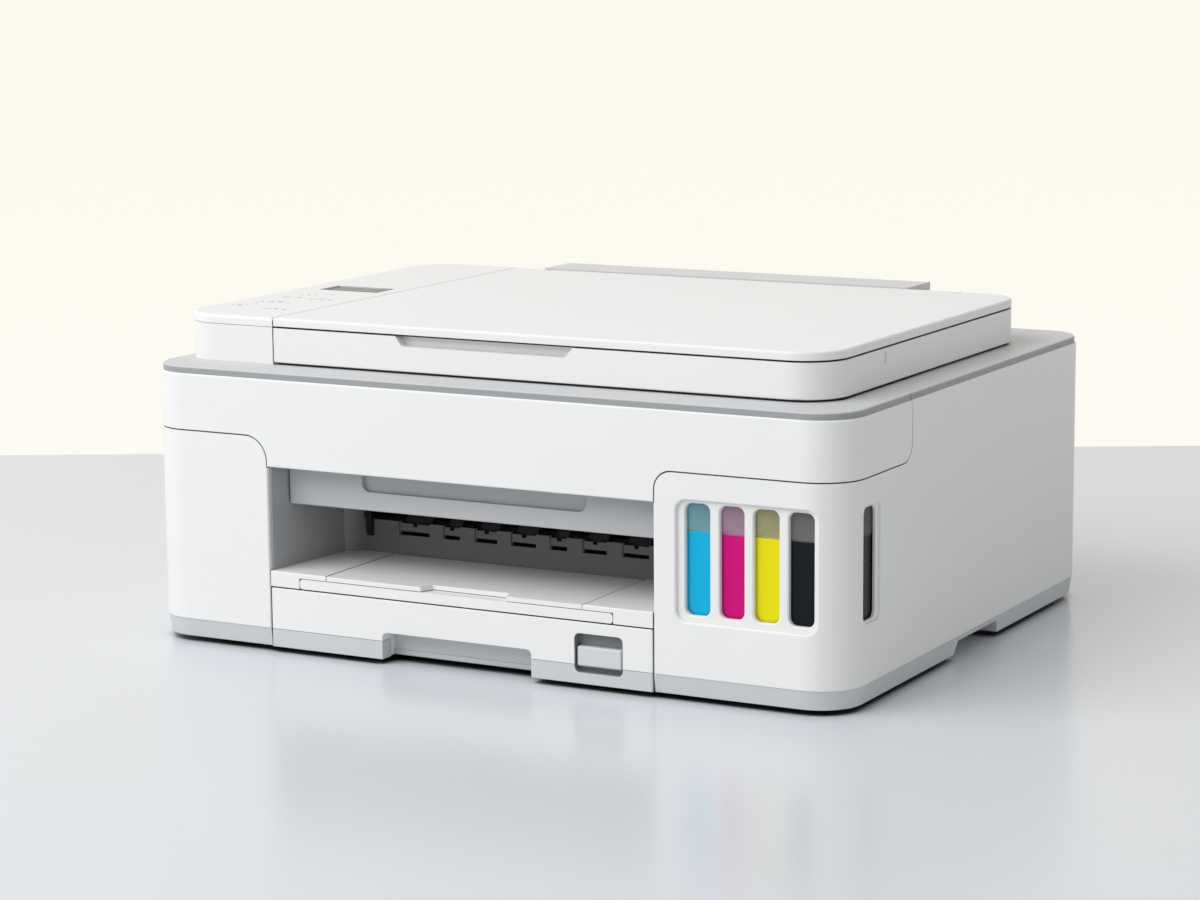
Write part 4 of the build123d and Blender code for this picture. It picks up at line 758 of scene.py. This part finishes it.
unit_low, unit_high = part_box("document_lid")
UNIT_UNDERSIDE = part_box("scanner_shell")[0].z
UNIT_RADIUS = 24 * MM
UNIT_BACK = 121 * MM
LEFT_RADIUS = 0.3 * MM
CORNER_STEPS = 10
LID_SHADE_STRIP_EDGES = (1.2 * MM, 2.3 * MM)
UNIT_SHADE_STRIP_EDGES = (1.6 * MM, 3.4 * MM)
UNIT_SHADE_STRIP_DROP = 1.05 * MM
LID_SHADE_STRIP_Z = (171.4 * MM, 172.25 * MM)
RECESS_ENDS = (-67.5 * MM, 46.5 * MM)
SHADE_STRIP_END = 110 * MM


def unit_outline(inset):
    """The scanner unit's plan: square on the left, round on the right."""
    turn = UNIT_RADIUS - inset
    edges = (unit_low.x + inset, unit_high.x - inset, unit_low.y + inset, UNIT_BACK - inset)
    return plan(*edges, [LEFT_RADIUS, turn, turn, LEFT_RADIUS], steps=CORNER_STEPS)


def right_path(inset):
    """From the finger recess round both right corners to the hinge."""
    per_corner = CORNER_STEPS + 1
    corners_right = unit_outline(inset)[per_corner:3 * per_corner]
    return [(RECESS_ENDS[1], unit_low.y + inset)] + corners_right + [(SHADE_STRIP_END, UNIT_BACK - inset)]


def left_path(inset):
    """From the left end to the finger recess."""
    return [(unit_low.x + inset, unit_low.y + inset), (RECESS_ENDS[0], unit_low.y + inset)]


for side, path in (("right", right_path), ("left", left_path)):
    edges = [path(inset) for inset in LID_SHADE_STRIP_EDGES]
    strip(f"lid_seal_{side}", *edges, *LID_SHADE_STRIP_Z, SHADE_STRIP_BLACK, "scanner_unit")
shade_strip_outlines = [unit_outline(inset) for inset in UNIT_SHADE_STRIP_EDGES]
unit_shade_strip_z = (UNIT_UNDERSIDE - UNIT_SHADE_STRIP_DROP, UNIT_UNDERSIDE)
ring_band("unit_seal", *shade_strip_outlines, *unit_shade_strip_z, SHADE_STRIP_BLACK, "scanner_unit")
print("lid shade strip in mm", round((LID_SHADE_STRIP_Z[1] - LID_SHADE_STRIP_Z[0]) / MM, 2))

# %% [markdown]
# ### Print on the control panel
#
# Symbols are printed on the panel in thin grey ink, and a small red lamp sits on the stop key. Ink is a
# film of a few hundredths of a millimetre, so each symbol is a very flat solid that rises that much above
# the plastic. A texture would need an unwrapped panel. Symbols that sit on a key move down with it.

# %% Symbols
BREAK_SCALE = 2600
PRINT_SPECULAR = 0.25


def printed(name, color):
    """Screen-printed ink: matt, with tiny breaks in its cover."""
    material, tree, shader = new_finish(name)
    breaks = noise(tree, BREAK_SCALE, 2)
    tree.links.new(blend_colors(tree, breaks, color, shade(color, 1.25)), shader.inputs["Base Color"])
    tree.links.new(span(tree, breaks, 0.45, 0.6), shader.inputs["Roughness"])
    shader.inputs["Specular IOR Level"].default_value = PRINT_SPECULAR
    return material


PRINT = printed("grey_print", (0.22, 0.215, 0.21))
RED_LAMP = printed("red_lamp", (0.78, 0.07, 0.05))
PRINT_Z = (176.86 * MM, 176.95 * MM)
SYMBOL = 1.25 * MM
RING_HOLE = 0.72 * SYMBOL
BAR_HALF = SYMBOL / 4
ROUND = 24


def polygon(x, y, radius, sides, turn=0):
    """Points round a regular polygon, the first one towards turn in degrees."""
    return [
        (x + radius * math.cos(angle), y + radius * math.sin(angle))
        for angle in (math.radians(turn + 360 * i / sides) for i in range(sides))
    ]


def symbol(kind, name, x, y, body, finish=PRINT):
    """One printed symbol: a ring, a bar, or a polygon by its number of sides."""
    if kind == "ring":
        outer, inner = polygon(x, y, SYMBOL, ROUND), polygon(x, y, RING_HOLE, ROUND)
        return ring_band(name, outer, inner, *PRINT_Z, finish, body)
    if kind == "bar":
        outline = plan(x - SYMBOL, x + SYMBOL, y - BAR_HALF, y + BAR_HALF, [SYMBOL / 6] * 4, steps=3)
    else:
        outline = polygon(x, y, SYMBOL, kind, 90 if kind % 2 else 0)
    return stack(name, [level(outline, z) for z in PRINT_Z], finish, body)


SYMBOLS = (
    ("ring", -190, -102, "key_power"), ("bar", -186.5, -90, "root"),
    (3, -188, -82.5, "root"), (3, -181.2, -82.6, "key_stop"), ("bar", -170.5, -82, "root"),
    ("bar", -168, -110, "root"), (4, -162, -108, "key_start"), ("ring", -156, -108, "root"),
    ("bar", -185.6, -61, "key_menu"), (4, -178, -60, "root"),
    ("bar", -184.4, -48.7, "root"), (4, -180.6, -47, "root"), ("bar", -176.8, -45.5, "root"),
    (3, -167.8, -63.7, "root"), ("ring", -162, -62.8, "key_ok"), (3, -156.2, -61.6, "root"),
    ("bar", -168.1, -41.3, "root"),
)
LAMP_SIDES = 12
for number, (kind, x, y, body) in enumerate(SYMBOLS, 1):
    symbol(kind, f"symbol_{number}", x * MM, y * MM, body)
symbol(LAMP_SIDES, "stop_lamp", -177.6 * MM, -80.8 * MM, "key_stop", RED_LAMP)
print("symbols", len(SYMBOLS) + 1)

# %% [markdown]
# ### A border round the display
#
# The display looks larger than its opening, because a grey border is printed round it. It is the same thin
# ink as the symbols, in one ring that is square inside and rounded outside.

# %% Display border
BORDER = printed("display_border", (0.115, 0.12, 0.128))
OPENING = (-187.15 * MM, -152.85 * MM, -21.15 * MM, -4.35 * MM)
BORDER_EDGES = (-189.4 * MM, -150.8 * MM, -22.6 * MM, -3.1 * MM)
border_inner = plan(*OPENING, [0.05 * MM] * 4, steps=2)
border_outer = plan(*BORDER_EDGES, [0.6 * MM] * 4, steps=2)
ring_band("display_border", border_outer, border_inner, *PRINT_Z, BORDER, "root")
print("border in mm", round((OPENING[0] - BORDER_EDGES[0]) / MM, 2))

# %% [markdown]
# ### The drawer's latch well and lip
#
# The latch sits in a well that is lined with a dark grey sheet as painted shade, and a thin lip under the
# drawer's front wall closes the gap above the table. The well's lining is a cup: out along its outer wall,
# over the rim, and back in along its inner wall, so one stack of outlines makes it.

# %% Latch well and lip
# Painted shade: a dark grey lining so that the well's inside reads dark.
WELL_SHADE_GREY = plastic("well_shade_moulding", (0.22, 0.23, 0.24), 0.42)
WELL = (57.2 * MM, 85.2 * MM, 8.8 * MM, 29.3 * MM)
WELL_CORNER = 3 * MM
WELL_FLOOR_Y = -163.5 * MM
WELL_RIM_Y = -168.2 * MM
LINING_GAP = 0.02 * MM
LINING = 0.15 * MM
LIP = (-58.2 * MM, 31.5 * MM, -156.6 * MM, -156 * MM)
LIP_Z = (3.7 * MM, 6.3 * MM)


def facing_front(inset, radius, y):
    """The well's outline at a depth, as points on an upright plane."""
    x0, x1, z0, z1 = WELL
    corners = plan(x0 + inset, x1 - inset, z0 + inset, z1 - inset, [radius] * 4)
    return [(x, y, z) for x, z in corners]


outer_wall = (LINING_GAP, WELL_CORNER)
inner_wall = (LINING_GAP + LINING, WELL_CORNER - LINING)
lining_rings = [
    facing_front(*outer_wall, WELL_FLOOR_Y - LINING_GAP), facing_front(*outer_wall, WELL_RIM_Y),
    facing_front(*inner_wall, WELL_RIM_Y), facing_front(*inner_wall, WELL_FLOOR_Y - LINING),
]
stack("latch_well", lining_rings, WELL_SHADE_GREY, "drawer")
lip_outline = plan(*LIP, [0.2 * MM] * 4, steps=2)
stack("drawer_lip", [level(lip_outline, z) for z in LIP_Z], PALE_GREY, "drawer")
print("well depth in mm", round((WELL_FLOOR_Y - WELL_RIM_Y) / MM, 1))

# %% [markdown]
# ### Small parts inside
#
# With the scanner unit up or the lid open, a few small things show: the lens and light strip on the scan
# bar, the clear strip with fine lines that tells the carriage where it is, and sponges in the caps that
# seal the print heads. They are blocks with soft corners, and each is a stack of three outlines, which
# gives it a rounded top edge without a modifier.

# %% Blocks and lined film
LINE_SCALE = 1100
LINE_DARK = (0.05, 0.05, 0.055)
LINE_CLEAR = (0.42, 0.43, 0.44)


def lined_film():
    """Clear film with fine upright lines."""
    material, tree, shader = new_finish("lined_film")
    lines = add(tree, "ShaderNodeTexWave", wave_profile="SIN", bands_direction="X")
    lines.inputs["Scale"].default_value = LINE_SCALE
    tree.links.new(place(tree), lines.inputs["Vector"])
    tone = blend_colors(tree, lines.outputs["Fac"], LINE_DARK, LINE_CLEAR)
    tree.links.new(tone, shader.inputs["Base Color"])
    tree.links.new(span(tree, noise(tree, 60), 0.15, 0.25), shader.inputs["Roughness"])
    return material


def slab(name, x0, x1, y0, y1, z0, z1, finish, body, rounding=0.3):
    """A block in millimetres with softened corners and a softened top edge."""
    soft = min(rounding, (z1 - z0) / 3) * MM
    x0, x1, y0, y1 = x0 * MM, x1 * MM, y0 * MM, y1 * MM
    full = plan(x0, x1, y0, y1, [rounding * MM] * 4, steps=3)
    small = plan(x0 + soft, x1 - soft, y0 + soft, y1 - soft, [rounding * MM / 2] * 4, steps=3)
    rings = [level(full, z0 * MM), level(full, z1 * MM - soft), level(small, z1 * MM)]
    return stack(name, rings, finish, body)


print("lines per metre", LINE_SCALE)

# %% Scan bar, encoder strip and sponges
LENS = plastic("lens_strip_moulding", (0.74, 0.77, 0.78), 0.16, 2e-6)
SPONGE = rubber("sponge", (0.20, 0.20, 0.21))
BAR_RUN = (-120, 99)
BAR_TOP = 165.9
slab("light_strip", -129.5, -126.5, *BAR_RUN, BAR_TOP, BAR_TOP + 0.5, LENS, "scan_bar")
slab("lens_slot", -124.5, -123.5, *BAR_RUN, BAR_TOP, BAR_TOP + 0.4, BLACK, "scan_bar", 0.2)
slab("encoder_strip", -152, 146, -9.7, -9, 101.5, 106.5, lined_film(), "root", 0.1)
for side, cap_x in (("left", 83), ("right", 112)):
    slab(f"sponge_{side}", cap_x + 3, cap_x + 21, -49, -29, 62, 65.2, SPONGE, "root", 0.8)
print("scan bar strips in mm", BAR_RUN[1] - BAR_RUN[0])

# %% [markdown]
# ### Painted shade in the gaps
#
# Between the drawer and the two towers, over the drawer, and between the panel and the scanner unit, the
# gaps are wide enough to look into. A thin black strip sits about a millimetre back in each as painted
# shade, so nothing pale shows behind, and one more strip hangs under the lid over the finger recess. The
# let-in panel of the tray has a groove round it, drawn here as thin dark lines of painted shade.

# %% Shade strips and grooves
# Each row is a name and, in millimetres, its two ends along X, along Y and, for the shade strips, in
# height.
GAP_SHADE_ROWS = (
    ("felt_drawer_left", -128.95, -128.4, -167.5, -160, 3.4, 35),
    ("felt_drawer_right", 102.35, 102.85, -167.5, -160, 3.4, 35),
    ("felt_drawer_top", -128, 102, -167.4, -160, 35.4, 35.95),
    ("felt_panel", -141.85, -141.4, -140.9, -139.4, 152.8, 175.6),
)
# Painted shade: a black strip set back in each gap.
for name, *edges in GAP_SHADE_ROWS:
    slab(name, *edges, SHADE_STRIP_BLACK, "root", 0.1)
slab("felt_lid_front", -67, 46, -140.4, -139.3, 171.5, 172.4, SHADE_STRIP_BLACK, "lid", 0.1)
GROOVES = (
    ("groove_left", -93.75, -93.3, -168.2, -99.7),
    ("groove_right", 62, 62.45, -168.2, -99.7),
    ("groove_back", -93.3, 62, -99.7, -99.25),
)
# Painted shade: each groove is drawn as a thin dark line in the matt print finish.
GROOVE_SHADE = printed("groove_shade_line", (0.10, 0.102, 0.105))
GROOVE_Z = (44.1, 44.34)
for name, *edges in GROOVES:
    slab(name, *edges, *GROOVE_Z, GROOVE_SHADE, "root", 0.1)
print("gap shade strips", len(GAP_SHADE_ROWS) + 1, "grooves", len(GROOVES))

# %% [markdown]
# ### Screws
#
# Six screws hold the base on from below, and four hold the board. A pan head is a low dome with a cross
# cut into it. Cutting one mesh from another would leave stray edges, so the rings of the dome have twelve
# points, in the directions of the cross's corners, and the last two rings step down into the cross.

# %% Screws
SCREW_STEEL = drawn_metal("screw_steel", (0.50, 0.50, 0.51), 0.3, (300, 300, 300))
HEAD_RADIUS = 3.2 * MM
HEAD_HEIGHT = 1.5 * MM
HEAD_PROFILE = ((1, 0), (1, 0.45), (0.9, 0.8), (0.68, 1))
CROSS_REACH = 1.7 * MM
CROSS_HALF = 0.42 * MM
CROSS_PROFILE = ((1, 1), (0.8, 0.45))
BASE_SPOTS = ((-185, -100), (185, -100), (-185, 60), (185, 60), (-60, 150), (60, 150))
BASE_BOTTOM = 3
BOARD_SPOTS = ((26, 46), (26, 114), (134, 46), (134, 114))
BOARD_X = -188.4


def cross_outline(reach, half):
    """The twelve corners of a cross, from its right arm round."""
    arm = [(reach, half), (half, half), (half, reach)]
    points = []
    for cosine, sine in ((1, 0), (0, 1), (-1, 0), (0, -1)):
        points += [(x * cosine - y * sine, x * sine + y * cosine) for x, y in arm]
    return points


def screw(name, spot, outward, body):
    """A pan head with a cross recess, standing on a surface that faces outward."""
    turn = Vector(outward).to_track_quat("Z", "Y").to_matrix()
    around = [math.atan2(y, x) for x, y in cross_outline(CROSS_REACH, CROSS_HALF)]
    rings = []
    for wide, tall in HEAD_PROFILE:
        radius = HEAD_RADIUS * wide
        circle = [(radius * math.cos(angle), radius * math.sin(angle)) for angle in around]
        rings.append(level(circle, HEAD_HEIGHT * tall))
    for shrink, tall in CROSS_PROFILE:
        rings.append(level(cross_outline(CROSS_REACH * shrink, CROSS_HALF * shrink), HEAD_HEIGHT * tall))
    placed = [[Vector(spot) * MM + turn @ Vector(point) for point in ring] for ring in rings]
    return stack(name, placed, SCREW_STEEL, body)


for number, (x, y) in enumerate(BASE_SPOTS, 1):
    screw(f"base_screw_{number}", (x, y, BASE_BOTTOM), (0, 0, -1), "root")
for number, (y, z) in enumerate(BOARD_SPOTS, 1):
    screw(f"board_screw_{number}", (BOARD_X, y, z), (1, 0, 0), "root")
print("screws", len(BASE_SPOTS) + len(BOARD_SPOTS))

# %% [markdown]
# ### The studio
#
# The machine stands on a pale blue-grey table whose far edge cuts the picture in half, and behind it is
# warm white air. The table is a plain sheet turned square to the camera, polished enough to mirror the
# body softly. The warm white is the world's own colour, shown to the camera and to mirror rays only, so
# that it doesn't tint the light on the machine.

# %% Table
TABLE_BACK = 0.548
TABLE_FRONT = -1.6
TABLE_HALF_WIDTH = 2.2
TABLE_TONES = ((0.68, 0.705, 0.755), (0.73, 0.755, 0.80))
TABLE_SPECULAR = 0.34
CONTACT_REACH = 9 * MM
CONTACT_OPENNESS = (0.24, 0.66)


def table_finish():
    """Polished pale blue-grey laminate, with a painted contact shadow where the base nearly touches it."""
    material, tree, shader = new_finish("table_laminate")
    pale = blend_colors(tree, noise(tree, 1.3, 2), *TABLE_TONES)
    # Painted shadow: the laminate darkens where the base stands within reach.
    clear = carry(tree, openness(tree, CONTACT_REACH, samples=8), *CONTACT_OPENNESS)
    tree.links.new(blend_colors(tree, clear, PAINTED_SHADE_DARK, pale), shader.inputs["Base Color"])
    tree.links.new(span(tree, noise(tree, 6, 3), 0.19, 0.25), shader.inputs["Roughness"])
    shader.inputs["Specular IOR Level"].default_value = TABLE_SPECULAR
    return material


away = Vector((-math.sin(AZIMUTH), math.cos(AZIMUTH), 0))
to_side = level_right * TABLE_HALF_WIDTH
corners = [
    away * TABLE_FRONT - to_side, away * TABLE_FRONT + to_side,
    away * TABLE_BACK + to_side, away * TABLE_BACK - to_side,
]
table_data = bpy.data.meshes.new("table")
table_data.from_pydata(corners, [], [(0, 1, 2, 3)])
table_data.materials.append(table_finish())
table = bpy.data.objects.new("table", table_data)
scene.collection.objects.link(table)
print("table depth in m", TABLE_BACK - TABLE_FRONT)

# %% World
AMBIENT = 0.53
AMBIENT_COLOR = (0.99, 0.994, 0.99, 1)
AIR_TURN = (-0.16, 0.04)
AIR_LOW = (0.985, 0.965, 0.885)
AIR_HIGH = (0.955, 0.925, 0.825)


def world_light():
    """Warm white for what looks at it, neutral and dimmer for what it lights."""
    world = bpy.data.worlds.new("studio")
    world.use_nodes = True
    tree = world.node_tree
    tree.nodes.clear()
    direction = axes(tree, add(tree, "ShaderNodeTexCoord").outputs["Generated"])
    warm = blend_colors(tree, carry(tree, direction["Z"], *AIR_TURN), AIR_LOW, AIR_HIGH)
    seen = add(tree, "ShaderNodeBackground")
    tree.links.new(warm, seen.inputs["Color"])
    lit = add(tree, "ShaderNodeBackground")
    lit.inputs["Color"].default_value = AMBIENT_COLOR
    lit.inputs["Strength"].default_value = AMBIENT
    path = add(tree, "ShaderNodeLightPath")
    looks = path.outputs["Is Camera Ray"]
    for ray in ("Is Glossy Ray", "Is Transmission Ray"):
        looks = greater_of(tree, looks, path.outputs[ray])
    mix = add(tree, "ShaderNodeMixShader")
    tree.links.new(looks, mix.inputs["Fac"])
    tree.links.new(lit.outputs["Background"], mix.inputs[1])
    tree.links.new(seen.outputs["Background"], mix.inputs[2])
    output = add(tree, "ShaderNodeOutputWorld")
    tree.links.new(mix.outputs["Shader"], output.inputs["Surface"])
    return world


scene.world = world_light()
print("ambient", AMBIENT)

# %% [markdown]
# ### Lights
#
# One big soft source stands high to the front left, so the front and the lid are equally bright and the
# right side falls off to a mid grey, which is what gives the body its depth. A lamp's power has to grow
# with the square of its distance, so it is worked out from the brightness wanted at the machine.

# %% Lights
KEY_DIRECTION = (-0.42, -0.62, 0.70)
KEY_DISTANCE = 3.0
KEY_SIZE = 2.5
KEY_BRIGHTNESS = 0.74


def softbox(name, direction, distance, size, brightness):
    """A square lamp aimed at the machine, with its power from the brightness wanted there."""
    lamp_data = bpy.data.lights.new(name, "AREA")
    lamp_data.size = size
    lamp_data.energy = brightness * math.pi ** 2 * distance ** 2
    lamp = bpy.data.objects.new(name, lamp_data)
    scene.collection.objects.link(lamp)
    lamp.location = TARGET + Vector(direction).normalized() * distance
    lamp.rotation_euler = Vector(direction).to_track_quat("Z", "Y").to_euler()
    return lamp_data.energy


key_power = softbox("key_light", KEY_DIRECTION, KEY_DISTANCE, KEY_SIZE, KEY_BRIGHTNESS)
print("key light in W", round(key_power, 1))
